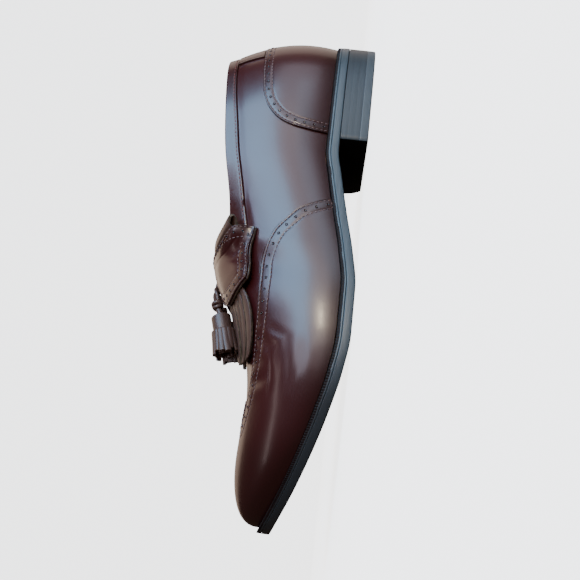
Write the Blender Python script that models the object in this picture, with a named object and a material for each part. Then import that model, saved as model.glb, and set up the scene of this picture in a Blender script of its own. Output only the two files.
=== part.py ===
"""A kiltie wingtip loafer, left shoe, standing empty on its sole.

Millimetres in the tables and metres in the scene. +X runs to the toe, +Y to the outer side
of the foot, +Z up. Stations are distances from the back of the sole towards the toe.
"""

import math

import bmesh
import bpy
import numpy as np

MM = 0.001
SHARP_ANGLE = math.radians(40)

# Driving dimensions
SOLE_LENGTH = 304.0
THROAT_STATION = 166.0
OUTSOLE_THICKNESS = 4.6
WELT_THICKNESS = 2.6
WELT_WIDTH = 9.0
INSOLE_RISE = 1.6
HEEL_HEIGHT = 16.4
LIFT_THICKNESS = 5.0
UPPER_WALL = 2.0
OVERLAY_THICKNESS = 1.2
COLLAR_THICKNESS = 1.4
GAP = 0.3
COLLAR_GAP = 0.45
FOOT_GAP = 0.45

# The last: a row for each section, from the back of the heel to the tip of the toe.
# station, outer and inner give the edge of the sole, margin how far the upper stands in from it.
# The top columns are the collar line, and from the throat on the ridge of the vamp.
# fullness rounds the section, bulge swells its wall, arch is 0 for a wall and 1 for a closed vamp.
SECTIONS = np.array(
    [
        # station outer inner margin top_station top_outer top_inner top_height fullness bulge arch
        (0.0, 0.0, 0.0, 3.0, 18.0, 0.0, 0.0, 91.2, 2.0, 3.2, 0.0),
        (8.0, 21.0, -21.0, 2.8, 21.0, 15.5, -15.5, 91.2, 2.0, 3.3, 0.0),
        (32.0, 32.5, -32.0, 2.4, 39.5, 25.5, -25.5, 89.4, 2.0, 3.6, 0.0),
        (62.0, 34.6, -32.6, 2.2, 65.5, 28.0, -27.5, 86.2, 2.0, 3.5, 0.0),
        (92.0, 36.2, -31.0, 2.2, 92.0, 28.0, -26.0, 82.0, 2.0, 3.0, 0.0),
        (120.0, 40.2, -31.0, 2.6, 117.0, 26.0, -24.0, 76.3, 2.0, 2.6, 0.15),
        (146.0, 45.4, -36.0, 3.2, 137.0, 18.0, -19.0, 75.0, 2.0, 2.2, 0.6),
        (THROAT_STATION, 49.6, -42.0, 3.6, 150.0, -3.0, -3.0, 76.8, 2.0, 1.8, 0.95),
        (190.0, 52.8, -47.0, 4.0, 174.0, -3.0, -3.0, 69.5, 2.05, 1.4, 1.0),
        (214.0, 52.4, -48.6, 4.2, 198.0, -4.0, -4.0, 60.8, 2.1, 1.2, 1.0),
        (240.0, 46.0, -44.4, 4.4, 222.0, -5.0, -5.0, 55.7, 2.15, 1.0, 1.0),
        (265.0, 35.5, -37.2, 4.4, 243.0, -5.5, -5.5, 54.9, 2.25, 0.8, 1.0),
        (286.0, 20.5, -27.6, 4.4, 256.0, -6.0, -6.0, 55.6, 2.4, 0.6, 1.0),
        (304.0, -6.0, -6.0, 4.4, 262.0, -6.0, -6.0, 55.8, 2.5, 0.6, 1.0),
    ]
)
STATION, OUTER, INNER, MARGIN = SECTIONS.T[:4]
TOP_STATION, TOP_OUTER, TOP_INNER, TOP_HEIGHT = SECTIONS.T[4:8]
FULLNESS, BULGE, ARCH = SECTIONS.T[8:]

# Underside of the sole: heel seat, arch, flat tread and toe spring.
TREAD = np.array(
    [
        # station height
        (0.0, HEEL_HEIGHT),
        (86.0, 16.2),
        (104.0, 13.0),
        (128.0, 8.0),
        (152.0, 2.8),
        (172.0, 0.0),
        (196.0, 0.0),
        (216.0, 2.6),
        (235.0, 7.3),
        (255.0, 13.4),
        (275.0, 20.5),
        (SOLE_LENGTH, 33.0),
    ]
)
HEEL_SEAT_ROW = 1
TREAD_FLAT_ROWS = (1, 5, 6)


def monotone_curve(knots, values):
    """A smooth curve through the points that never overshoots them."""
    step = np.diff(knots)
    rise = np.diff(values) / step
    slope = np.zeros(len(knots))
    slope[0], slope[-1] = rise[0], rise[-1]
    same_way = rise[:-1] * rise[1:] > 0
    slope[1:-1][same_way] = 2 * (rise[:-1] * rise[1:])[same_way] / (rise[:-1] + rise[1:])[same_way]

    def at(where):
        where = np.clip(np.asarray(where, float), knots[0], knots[-1])
        i = np.clip(np.searchsorted(knots, where, side="right") - 1, 0, len(step) - 1)
        j = i + 1
        return hermite((where - knots[i]) / step[i], step[i], values[i], values[j], slope[i], slope[j])

    return at


def hermite(t, step, start, end, start_slope, end_slope):
    """Cubic from start to end with the given slopes, t from 0 to 1."""
    return (
        start * (1 + 2 * t) * (1 - t) ** 2
        + end * t * t * (3 - 2 * t)
        + step * (start_slope * t * (1 - t) ** 2 - end_slope * t * t * (1 - t))
    )


def closed_curve(knots, values, period):
    """A closed curve through the points with continuous curvature."""
    count = len(knots)
    step = np.diff(np.append(knots, knots[0] + period))
    rise = (np.roll(values, -1) - values) / step
    system = np.zeros((count, count))
    right = np.zeros(count)
    for i in range(count):
        before, after = step[i - 1], step[i]
        system[i, i - 1] += after
        system[i, i] += 2 * (before + after)
        system[i, (i + 1) % count] += before
        right[i] = 3 * (after * rise[i - 1] + before * rise[i])
    slope = np.linalg.solve(system, right)

    def at(where):
        where = np.mod(np.asarray(where, float) - knots[0], period) + knots[0]
        i = np.clip(np.searchsorted(knots, where, side="right") - 1, 0, count - 1)
        j = (i + 1) % count
        return hermite((where - knots[i]) / step[i], step[i], values[i], values[j], slope[i], slope[j])

    return at


# Around the shoe: turn runs from 0 at the back of the heel along the outer side to 1 at the toe,
# and on along the inner side to 2. Up the shoe: rise runs from 0 at the welt to 1 at the top line.
def turn_at(station):
    return np.arccos(np.clip(1 - 2 * np.asarray(station, float) / SOLE_LENGTH, -1, 1)) / math.pi


def around(outer, inner):
    """The column as a closed curve: outer side forwards, inner side back."""
    knots = turn_at(STATION)
    return closed_curve(
        np.concatenate([knots, 2 - knots[-2:0:-1]]), np.concatenate([outer, inner[-2:0:-1]]), 2.0
    )


def along(outer, inner):
    """The column as two curves without overshoot, one for each side."""
    knots = turn_at(STATION)
    outer_side, inner_side = monotone_curve(knots, outer), monotone_curve(knots, inner)
    return lambda turn: np.where(
        np.mod(turn, 2) <= 1, outer_side(np.mod(turn, 2)), inner_side(2 - np.mod(turn, 2))
    )


sole_edge = around(OUTER, INNER)
margin_at = around(MARGIN, MARGIN)
top_station_at = around(TOP_STATION, TOP_STATION)
top_side_at = along(TOP_OUTER, TOP_INNER)
top_height_at = around(TOP_HEIGHT, TOP_HEIGHT)
fullness_at = around(FULLNESS, FULLNESS)
bulge_at = around(BULGE, BULGE)
arch_at = along(ARCH, ARCH)
tread_at = monotone_curve(*TREAD.T)
THROAT_TURN = float(turn_at(THROAT_STATION))


def outline(turn, inset):
    """Points on the sole's outline, moved in by inset, as x and y."""
    turn = np.asarray(turn, float)

    def edge(at):
        return np.stack([SOLE_LENGTH / 2 * (1 - np.cos(math.pi * at)), sole_edge(at)], -1)

    small = 1e-4
    run = edge(turn + small) - edge(turn - small)
    run /= np.linalg.norm(run, axis=-1, keepdims=True)
    out = np.stack([-run[..., 1], run[..., 0]], -1)
    return edge(turn) - out * np.asarray(inset, float)[..., None], out


def sole_top(station):
    return tread_at(station) + OUTSOLE_THICKNESS + GAP + WELT_THICKNESS


def last_surface(turn, rise):
    """The outside of the upper."""
    turn, rise = np.broadcast_arrays(np.asarray(turn, float), np.asarray(rise, float))
    foot, out = outline(turn, margin_at(turn))
    foot_height = sole_top(foot[..., 0]) + FOOT_GAP
    top = np.stack([top_station_at(turn), top_side_at(turn)], -1)
    angle = rise * math.pi / 2
    power = 2 / fullness_at(turn)
    arch = arch_at(turn)
    inward = (1 - arch) * rise**2 + arch * (1 - np.cos(angle) ** power)
    upward = (1 - arch) * rise + arch * np.sin(angle) ** power
    swell = bulge_at(turn) * 4 * rise * (1 - rise) ** (1 + arch)
    plan = foot + (top - foot) * inward[..., None] + out * swell[..., None]
    height = foot_height + (top_height_at(turn) - foot_height) * upward
    return np.concatenate([plan, height[..., None]], -1)


NORMAL_STEP = 0.002
RIDGE_LIMIT = 0.99


def skin_normal(turn, rise):
    """Outward normal of the upper, the same from both sides along the ridge."""
    low = np.clip(rise - NORMAL_STEP, 0, RIDGE_LIMIT - 2 * NORMAL_STEP)
    high = np.clip(rise + NORMAL_STEP, 2 * NORMAL_STEP, RIDGE_LIMIT)
    middle = (low + high) / 2
    run = last_surface(turn + NORMAL_STEP, middle) - last_surface(turn - NORMAL_STEP, middle)
    climb = last_surface(turn, high) - last_surface(turn, low)
    normal = np.cross(climb, run)
    return normal / np.linalg.norm(normal, axis=-1, keepdims=True)


def upper_skin(turn, rise, offset):
    """The upper's own surface, moved out by offset."""
    turn, rise = np.broadcast_arrays(np.asarray(turn, float), np.asarray(rise, float))
    normal = skin_normal(turn, rise)
    ridge = (rise > RIDGE_LIMIT) & (np.abs(turn - 1) <= 1 - THROAT_TURN + NORMAL_STEP**2)
    both = normal + skin_normal(2 - turn, rise)
    both /= np.linalg.norm(both, axis=-1, keepdims=True)
    normal = np.where(ridge[..., None], both, normal)
    return last_surface(turn, rise) + normal * np.asarray(offset, float)[..., None]


# Parts of the upper, in turn and rise.
QUARTER_TURN = 0.44
UPPER_COLUMNS = (
    # first turn, last turn, steps
    (0.0, QUARTER_TURN, 14),
    (QUARTER_TURN, THROAT_TURN, 5),
    (THROAT_TURN, 1.0, 16),
)
SIDE_TURNS = np.unique(np.concatenate([np.linspace(a, b, n + 1) for a, b, n in UPPER_COLUMNS]))
UPPER_ROWS = 12
UPPER_RISES = np.linspace(0, 1, UPPER_ROWS + 1)

# Edge of the wing-shaped toe cap: along the side, up over the vamp and back to a peak on the ridge.
WING_EDGE = np.array(
    [
        # rise turn
        (0.0, 0.4292),
        (0.1, 0.434),
        (0.195, 0.44),
        (0.29, 0.4475),
        (0.362, 0.4592),
        (0.413, 0.4708),
        (0.442, 0.484),
        (0.4455, 0.498),
        (0.449, 0.512),
        (0.4535, 0.552),
        (0.468, 0.573),
        (0.517, 0.6058),
        (0.573, 0.645),
        (0.642, 0.686),
        (0.75, 0.735),
        (0.82, 0.757),
        (0.9, 0.752),
        (1.0, 0.729),
    ]
)
WING_BEND_ROWS = slice(6, 11)
WING_LEAD = 0.03
WING_GAP = 0.38

# Top edge of the heel counter, from the back of the heel round to its front end on the welt.
COUNTER_EDGE = np.array(
    [
        # turn rise
        (0.0, 0.668),
        (0.1, 0.667),
        (0.2, 0.664),
        (0.2542, 0.65),
        (0.2842, 0.615),
        (0.2967, 0.578),
        (0.3083, 0.527),
        (0.3175, 0.463),
        (0.3242, 0.383),
        (0.3283, 0.302),
        (0.3325, 0.12),
        (0.3335, 0.0),
    ]
)
COUNTER_BEND_ROWS = slice(5, None)
COUNTER_ROWS = 5
COUNTER_TIP = 0.02

# Lower edge of the collar band, and the tab between it and the counter at the back.
COLLAR_EDGE = np.array(
    [
        # turn rise
        (0.0, 0.915),
        (0.2, 0.918),
        (0.2525, 0.911),
        (0.3317, 0.88),
        (0.39, 0.866),
        (0.4358, 0.843),
        (0.4533, 0.81),
        (0.475, 0.74),
        (0.49, 0.7),
    ]
)
COLLAR_ROWS = 3
HEEL_TAB_TURN = 0.165
HEEL_TAB_GAP = 0.006
HEEL_TAB_MERGE = 0.005
HEEL_TAB_ROWS = 3

# Saddle strap over the instep: its rear and front edges, and the lower edge of its ears.
STRAP_THICKNESS = 2.6
STRAP_SEAT = 0.4
STRAP_LIFT = 3.9
STRAP_FLAT_TURN = 0.06
STRAP_FLAT_RISE = 0.13
STRAP_ARCH = 3.4
STRAP_ARCH_RISES = (0.6, 0.78)
STRAP_REAR = np.array(
    [
        # rise turn
        (0.49, 0.4765),
        (0.68, 0.479),
        (0.74, 0.4825),
        (0.78, 0.49),
        (0.82, 0.502),
        (0.86, 0.515),
        (0.9, 0.5235),
        (0.94, 0.5287),
        (1.0, 0.5335),
    ]
)
STRAP_FRONT = np.array(
    [
        # rise turn
        (0.48, 0.543),
        (0.535, 0.553),
        (0.598, 0.564),
        (0.672, 0.575),
        (0.74, 0.5805),
        (0.8, 0.5815),
        (0.9, 0.5785),
        (1.0, 0.5765),
    ]
)
STRAP_EAR = np.array(
    [
        # share of the strap's width from its rear edge, rise
        (0.0, 0.61),
        (0.25, 0.577),
        (0.5, 0.525),
        (0.75, 0.49),
        (0.9, 0.488),
        (1.0, 0.498),
    ]
)
STRAP_STEPS_ACROSS = 9
STRAP_STEPS_ALONG = 6

# Kiltie: a leather flap folded in a loop behind the strap, and cut into strips in front of it.
KILTIE_THICKNESS = 1.6
KILTIE_LOOP_RISE = 0.775
KILTIE_LOOP_SPREAD = 0.75
KILTIE_COLLAR_LIFT = 1.9
KILTIE_LOOP = np.array(
    [
        # distance behind the strap's rear edge, height over the upper, share of the lift over the collar
        (-4.0, 1.15, 1.0),
        (0.0, 1.3, 1.0),
        (4.5, 2.6, 0.9),
        (8.6, 4.6, 0.5),
        (10.2, 7.4, 0.0),
        (8.4, 9.9, 0.0),
        (5.0, 9.4, 0.0),
        (2.2, 6.4, 0.0),
        (-2.5, 2.7, 0.0),
    ]
)
KILTIE_FLAP = np.array(
    [
        # turn on the ridge, rise of the side edge, height over the upper
        (0.546, 0.7, 2.5),
        (0.556, 0.57, 2.8),
        (0.566, 0.53, 3.0),
        (0.578, 0.515, 3.0),
        (0.594, 0.513, 3.0),
        (0.612, 0.52, 3.0),
        (0.632, 0.537, 2.9),
        (0.648, 0.557, 2.9),
        (0.66, 0.58, 2.9),
    ]
)
KILTIE_FRINGE_ROW = 3
KILTIE_STRIPS = 9
KILTIE_SLIT = 0.12
KILTIE_CORNER = 0.02
KILTIE_CURL = 0.5
KILTIE_CURL_STEP = 2.4

# Tassels: thong over the strap's front edge, knot, neck, rolled head and cut skirt, along one line.
TASSEL_LOBES = 8
TASSEL_FLUTE = 0.07
TASSEL_SKIRT = 0.65
TASSEL_PROFILE = np.array(
    [
        # share of the length, radius
        (0.0, 1.5),
        (0.1, 1.5),
        (0.19, 1.6),
        (0.21, 3.4),
        (0.25, 3.9),
        (0.29, 3.4),
        (0.31, 1.9),
        (0.37, 1.9),
        (0.385, 5.4),
        (0.42, 5.9),
        (0.64, 5.8),
        (0.66, 6.1),
        (0.68, 5.7),
        (0.84, 6.2),
        (0.97, 6.5),
        (1.0, 5.6),
    ]
)
TASSEL_ROUTES = {
    # points from the strap's front edge to the end of the skirt: x, y, z
    "tassel_outer": ((169.5, 0.0, 81.75), (178.8, 4.0, 79.8), (186.0, 6.2, 76.1), (210.0, 12.0, 68.2)),
    "tassel_inner": ((169.5, -8.0, 81.85), (178.8, -12.0, 79.8), (186.0, -14.2, 76.0), (209.5, -20.5, 67.75)),
}

# Sole
EDGE_BEVEL = 0.8
WELT_INSET = 0.5
WELT_TOP_INSET = 0.75
WELT_FLOOR = OUTSOLE_THICKNESS + GAP
WELT_TOP = WELT_FLOOR + WELT_THICKNESS
SOLE_STEPS = 29
SOLE_TURNS = np.unique(np.append(np.linspace(0, 1, SOLE_STEPS + 1), turn_at(TREAD[TREAD_FLAT_ROWS, 0])))
BREAST_OUTER = 79.0
BREAST_INNER = 85.0
HEEL_STEPS = 11
HEEL_TOP_INSET = 0.2
LIFT_TOP_INSET = 0.56
LIFT_FOOT_INSET = 0.8
LIFT_CORNER = 7.0

SOLE_SIDES = sole_edge(np.linspace(0, 2, 400))
FRAME_SHIFT = np.array([SOLE_LENGTH / 2, (SOLE_SIDES.max() + SOLE_SIDES.min()) / 2, 0.0])


def clear_scene():
    for item in list(bpy.data.objects):
        bpy.data.objects.remove(item, do_unlink=True)


def finish(name, colour, roughness, metallic=0.0):
    """A plain finish of one colour."""
    material = bpy.data.materials.new(name)
    material.use_nodes = True
    shader = material.node_tree.nodes["Principled BSDF"]
    shader.inputs["Base Color"].default_value = (*colour, 1.0)
    shader.inputs["Roughness"].default_value = roughness
    shader.inputs["Metallic"].default_value = metallic
    return material


def add_solid(name, material, points, faces):
    """One closed body from points in millimetres."""
    mesh = bpy.data.meshes.new(name)
    mesh.from_pydata([tuple(p) for p in (np.asarray(points) - FRAME_SHIFT) * MM], [], faces)
    body = bmesh.new()
    body.from_mesh(mesh)
    bmesh.ops.recalc_face_normals(body, faces=body.faces)
    body.to_mesh(mesh)
    body.free()
    mesh.shade_smooth()
    mesh.set_sharp_from_angle(angle=SHARP_ANGLE)
    mesh.materials.append(material)
    item = bpy.data.objects.new(name, mesh)
    bpy.context.scene.collection.objects.link(item)
    return item


def weld(points, faces):
    """Point numbers with coincident points merged, and the faces that are left."""
    _, first, number = np.unique(np.round(points, 3), axis=0, return_index=True, return_inverse=True)
    number = number.ravel()
    kept = []
    for face in faces:
        ring = [number[i] for i in face]
        ring = [v for k, v in enumerate(ring) if v != ring[k - 1]]
        if len(ring) > 2:
            kept.append(ring)
    return first, kept


def add_shell(name, material, outside, inside, cells=None):
    """A sheet with thickness: two grids of points, walls round every open edge. cells marks kept cells."""
    rows, columns = outside.shape[:2]
    faces = [
        (r * columns + c, r * columns + c + 1, (r + 1) * columns + c + 1, (r + 1) * columns + c)
        for r in range(rows - 1)
        for c in range(columns - 1)
        if cells is None or cells[r, c]
    ]
    first, faces = weld(outside.reshape(-1, 3), faces)
    used = sorted({v for face in faces for v in face})
    place = {v: k for k, v in enumerate(used)}
    faces = [[place[v] for v in face] for face in faces]
    count = len(used)
    points = np.concatenate([outside.reshape(-1, 3)[first[used]], inside.reshape(-1, 3)[first[used]]])
    sides = {}
    for face in faces:
        for a, b in zip(face, face[1:] + face[:1]):
            sides[(a, b)] = sides.get((a, b), 0) + 1
    walls = [(b, a, a + count, b + count) for a, b in sides if (b, a) not in sides]
    back = [[v + count for v in reversed(face)] for face in faces]
    return add_solid(name, material, points, faces + back + walls)


def add_patch(name, material, turn, rise, low, high):
    """A panel of the upper between two offsets from its outside."""
    turn, rise = np.broadcast_arrays(turn, rise)
    low = np.broadcast_to(low, turn.shape)
    outside, inside = upper_skin(turn, rise, low + high), upper_skin(turn, rise, low)
    for points in (outside, inside):
        points[..., 2] = np.maximum(points[..., 2], sole_top(points[..., 0]) + FOOT_GAP)
    return add_shell(name, material, outside, inside)


def both_sides(turns):
    """Turns of one side, from heel to toe, carried on along the other side."""
    return np.concatenate([turns, 2 - turns[..., -2::-1]], -1)


def make_upper(material):
    turn = both_sides(SIDE_TURNS)[:, None]
    shape = (turn.shape[0], len(UPPER_RISES))
    outside = upper_skin(turn, UPPER_RISES, np.zeros(shape))
    inside = upper_skin(turn, UPPER_RISES, np.full(shape, -UPPER_WALL))
    return add_shell("upper", material, outside, inside)


def make_wing_cap(material):
    rises = np.unique(np.concatenate([UPPER_RISES, WING_EDGE[WING_BEND_ROWS, 0]]))
    edge = monotone_curve(*WING_EDGE.T)(rises)
    side = np.maximum(SIDE_TURNS[SIDE_TURNS > WING_EDGE[0, 1] - WING_LEAD], edge[:, None])
    return add_patch("wing_cap", material, both_sides(side), rises[:, None], WING_GAP, OVERLAY_THICKNESS)


def make_heel_counter(material):
    edge = monotone_curve(*COUNTER_EDGE.T)
    front = COUNTER_EDGE[COUNTER_BEND_ROWS, 0]
    side = np.append(SIDE_TURNS[SIDE_TURNS < front[0] - COUNTER_TIP / 2], front)
    turn = np.concatenate([-side[:0:-1], side])
    share = np.linspace(0, 1, COUNTER_ROWS + 1)
    rise = np.maximum(edge(np.abs(turn))[:, None], COUNTER_TIP) * share
    return add_patch("heel_counter", material, turn[:, None], rise, GAP, OVERLAY_THICKNESS)


def make_collar_band(material):
    edge = monotone_curve(*COLLAR_EDGE.T)
    side = SIDE_TURNS[SIDE_TURNS < COLLAR_EDGE[-1, 0]]
    turn = np.concatenate([-side[:0:-1], side])
    low = edge(np.abs(turn))[:, None]
    rise = low + (1 - low) * np.linspace(0, 1, COLLAR_ROWS + 1)
    return add_patch("collar_band", material, turn[:, None], rise, COLLAR_GAP, COLLAR_THICKNESS)


def make_heel_tab(material):
    side = np.append(SIDE_TURNS[SIDE_TURNS < HEEL_TAB_TURN - HEEL_TAB_MERGE], HEEL_TAB_TURN)
    turn = np.concatenate([-side[:0:-1], side])
    low = monotone_curve(*COUNTER_EDGE.T)(np.abs(turn)) + HEEL_TAB_GAP
    high = monotone_curve(*COLLAR_EDGE.T)(np.abs(turn)) - HEEL_TAB_GAP
    rise = low[:, None] + (high - low)[:, None] * np.linspace(0, 1, HEEL_TAB_ROWS + 1)
    return add_patch("heel_tab", material, turn[:, None], rise, GAP, OVERLAY_THICKNESS)


def smooth_step(value):
    value = np.clip(value, 0, 1)
    return value * value * (3 - 2 * value)


strap_rear_at = monotone_curve(*STRAP_REAR.T)
strap_front_at = monotone_curve(*STRAP_FRONT.T)


def make_strap(material):
    share = np.linspace(0, 1, STRAP_STEPS_ALONG + 1)
    foot = monotone_curve(*STRAP_EAR.T)(share)
    climb = np.linspace(0, 1, STRAP_STEPS_ACROSS + 1)[:, None]
    rise = foot + (1 - foot) * climb
    turn = strap_rear_at(rise) * (1 - share) + strap_front_at(rise) * share
    flat = (1 - smooth_step((turn - STRAP_REAR[0, 1]) / STRAP_FLAT_TURN)) * (
        1 - smooth_step((rise - STRAP_EAR[0, 1]) / STRAP_FLAT_RISE)
    )
    first, full = STRAP_ARCH_RISES
    arch = STRAP_ARCH * (1 - share) * smooth_step((rise - first) / (full - first))
    seat = STRAP_SEAT + STRAP_LIFT * (1 - flat) + arch
    turn = np.concatenate([turn, 2 - turn[-2::-1]])
    rise = np.concatenate([rise, rise[-2::-1]])
    seat = np.concatenate([seat, seat[-2::-1]])
    return add_patch("strap", material, turn, rise, seat, STRAP_THICKNESS)


def on_side(turn, across):
    """The turn on the outer side where across is positive, on the inner side elsewhere."""
    return np.where(across >= 0, turn, 2 - turn)


def make_kiltie(material):
    cut = np.linspace(1, -1, KILTIE_STRIPS + 1)
    half_slit = KILTIE_SLIT / KILTIE_STRIPS
    lines = [1.0]
    for line in cut[1:-1]:
        lines += [line + half_slit, line - half_slit]
    across = np.array(lines + [-1.0])
    reach = np.abs(across)

    loop_rise = 1 - (1 - KILTIE_LOOP_RISE) * reach**KILTIE_LOOP_SPREAD
    loop_turn = strap_rear_at(loop_rise)
    base = last_surface(on_side(loop_turn, across), loop_rise)
    back = np.array([-1.0, 0.0, 0.0])
    up = upper_skin(on_side(loop_turn, across), loop_rise, np.ones_like(across)) - base
    over_collar = KILTIE_COLLAR_LIFT * reach**3
    rows = []
    for behind, height, lifted in KILTIE_LOOP:
        rows.append(base + back * behind + up * (height + lifted * over_collar)[:, None])

    strip = np.clip(((1 - across) / 2 * KILTIE_STRIPS).astype(int), 0, KILTIE_STRIPS - 1)
    last = len(KILTIE_FLAP) - 1
    for row, (turn, edge, height) in enumerate(KILTIE_FLAP):
        out = max(0.0, (row - KILTIE_FRINGE_ROW) / (last - KILTIE_FRINGE_ROW))
        here = on_side(turn - KILTIE_CORNER * out * reach**4, across)
        lift = height + KILTIE_CURL * out**2 * np.sin(KILTIE_CURL_STEP * strip)
        rows.append(upper_skin(here, 1 - (1 - edge) * reach, lift))
    middle = np.array(rows)

    along = np.gradient(middle, axis=0)
    normal = np.cross(np.gradient(middle, axis=1), along)
    normal /= np.linalg.norm(normal, axis=-1, keepdims=True)
    cells = np.ones((len(rows) - 1, len(across) - 1), bool)
    cells[len(KILTIE_LOOP) + KILTIE_FRINGE_ROW :, 1::2] = False
    half = normal * KILTIE_THICKNESS / 2
    return add_shell("kiltie", material, middle + half, middle - half, cells)


def make_tassel(name, route, material):
    route = np.array(route)
    run = np.concatenate([[0], np.cumsum(np.linalg.norm(np.diff(route, axis=0), axis=1))])
    run /= run[-1]
    share, radius = TASSEL_PROFILE.T
    line = np.stack([monotone_curve(run, route[:, k])(share) for k in range(3)], -1)
    ahead = np.gradient(line, axis=0)
    ahead /= np.linalg.norm(ahead, axis=1, keepdims=True)
    side = np.cross(ahead, (0.0, 0.0, 1.0))
    side /= np.linalg.norm(side, axis=1, keepdims=True)
    over = np.cross(side, ahead)
    count = 2 * TASSEL_LOBES
    angle = np.arange(count) * 2 * math.pi / count
    flute = 1 + TASSEL_FLUTE * np.cos(TASSEL_LOBES * angle) * (share[:, None] > TASSEL_SKIRT)
    ring = radius[:, None] * flute
    points = line[:, None] + ring[..., None] * (
        side[:, None] * np.cos(angle)[None, :, None] + over[:, None] * np.sin(angle)[None, :, None]
    )
    faces = []
    for r in range(len(share) - 1):
        for k in range(count):
            n = (k + 1) % count
            faces.append((r * count + k, r * count + n, (r + 1) * count + n, (r + 1) * count + k))
    faces.append(tuple(range(count)))
    faces.append(tuple((len(share) - 1) * count + k for k in range(count)))
    return add_solid(name, material, points.reshape(-1, 3), faces)


def sole_ring(inset, height):
    """A loop of points round the sole: inset from its edge, height over the underside of the sole."""
    turn = both_sides(SOLE_TURNS)[:-1]
    plan, _ = outline(turn, np.broadcast_to(inset, turn.shape))
    return np.concatenate([plan, (tread_at(plan[:, 0]) + height)[:, None]], -1)


def ring_walls(rings, count, closed):
    faces = []
    for r in range(rings if closed else rings - 1):
        above = (r + 1) % rings
        for k in range(count):
            n = (k + 1) % count
            faces.append((r * count + k, r * count + n, above * count + n, above * count + k))
    return faces


def add_slab(name, material, rings):
    """A slab through rings from its underside to its top, each end closed by strips across."""
    count = len(rings[0])
    faces = ring_walls(len(rings), count, False)
    for start in (0, (len(rings) - 1) * count):
        for k in range(count // 2):
            strip = (k, k + 1, (count - k - 1) % count, (count - k) % count)
            faces.append(tuple(dict.fromkeys(start + v for v in strip)))
    return add_solid(name, material, np.concatenate(rings), faces)


def make_outsole(material):
    rings = [
        sole_ring(EDGE_BEVEL, 0.0),
        sole_ring(0.0, EDGE_BEVEL),
        sole_ring(0.0, OUTSOLE_THICKNESS - EDGE_BEVEL / 2),
        sole_ring(EDGE_BEVEL / 2, OUTSOLE_THICKNESS),
    ]
    return add_slab("outsole", material, rings)


def make_welt(material):
    rings = [
        sole_ring(WELT_INSET, WELT_FLOOR),
        sole_ring(WELT_TOP_INSET, WELT_TOP),
        sole_ring(WELT_WIDTH, WELT_TOP),
        sole_ring(WELT_WIDTH, WELT_FLOOR),
    ]
    return add_solid("welt", material, np.concatenate(rings), ring_walls(len(rings), len(rings[0]), True))


def make_insole(material):
    plug = WELT_WIDTH + GAP
    flange = margin_at(both_sides(SOLE_TURNS)[:-1]) + UPPER_WALL + 2 * GAP
    rings = [
        sole_ring(plug, WELT_FLOOR),
        sole_ring(plug, WELT_TOP + GAP),
        sole_ring(flange, WELT_TOP + GAP),
        sole_ring(flange, WELT_TOP + GAP + INSOLE_RISE),
    ]
    return add_slab("insole", material, rings)


def heel_ring(inset, height, corner):
    """The heel's outline at one height, closed by its breast, with the inner front corner cut off."""
    outer = np.linspace(0, turn_at(BREAST_OUTER), HEEL_STEPS + 1)
    inner = np.linspace(0, turn_at(BREAST_INNER - corner), HEEL_STEPS + 1)[:0:-1]
    plan, _ = outline(np.concatenate([-inner, outer]), np.full(len(inner) + len(outer), inset))
    if corner:
        cut = plan[0] + np.array([corner, corner])
        plan = np.concatenate([[cut], plan])
    return np.concatenate([plan, np.full((len(plan), 1), height)], -1)


def make_heel_block(name, material, rings):
    count = len(rings[0])
    faces = ring_walls(len(rings), count, False)
    faces.append(tuple(range(count)))
    faces.append(tuple((len(rings) - 1) * count + k for k in range(count)))
    return add_solid(name, material, np.concatenate(rings), faces)


def make_heel_stack(material):
    low = heel_ring(LIFT_TOP_INSET, LIFT_THICKNESS + GAP, 0.0)
    high = heel_ring(HEEL_TOP_INSET, TREAD[HEEL_SEAT_ROW, 1] - GAP, 0.0)
    return make_heel_block("heel_stack", material, [low, high])


def make_top_lift(material):
    low = heel_ring(LIFT_FOOT_INSET, 0.0, LIFT_CORNER)
    high = heel_ring(LIFT_TOP_INSET, LIFT_THICKNESS, LIFT_CORNER)
    return make_heel_block("top_lift", material, [low, high])


clear_scene()
calf = finish("burgundy_calf", (0.055, 0.012, 0.014), 0.22)
calf_band = finish("burgundy_calf_band", (0.06, 0.014, 0.016), 0.24)
lining = finish("insole_leather", (0.3, 0.17, 0.09), 0.6)
sole_leather = finish("sole_leather", (0.02, 0.018, 0.018), 0.4)
heel_leather = finish("heel_stack_leather", (0.015, 0.014, 0.014), 0.35)
lift_rubber = finish("lift_rubber", (0.012, 0.012, 0.013), 0.5)
make_outsole(sole_leather)
make_welt(sole_leather)
make_heel_stack(heel_leather)
make_top_lift(lift_rubber)
make_insole(lining)
make_upper(calf)
make_wing_cap(calf)
make_heel_counter(calf)
make_heel_tab(calf)
make_collar_band(calf_band)
make_kiltie(calf_band)
make_strap(calf)
for tassel_name, tassel_route in TASSEL_ROUTES.items():
    make_tassel(tassel_name, tassel_route, calf_band)
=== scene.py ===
import math

import bpy
import numpy as np
from mathutils import Matrix, Vector
from mathutils.kdtree import KDTree


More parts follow.
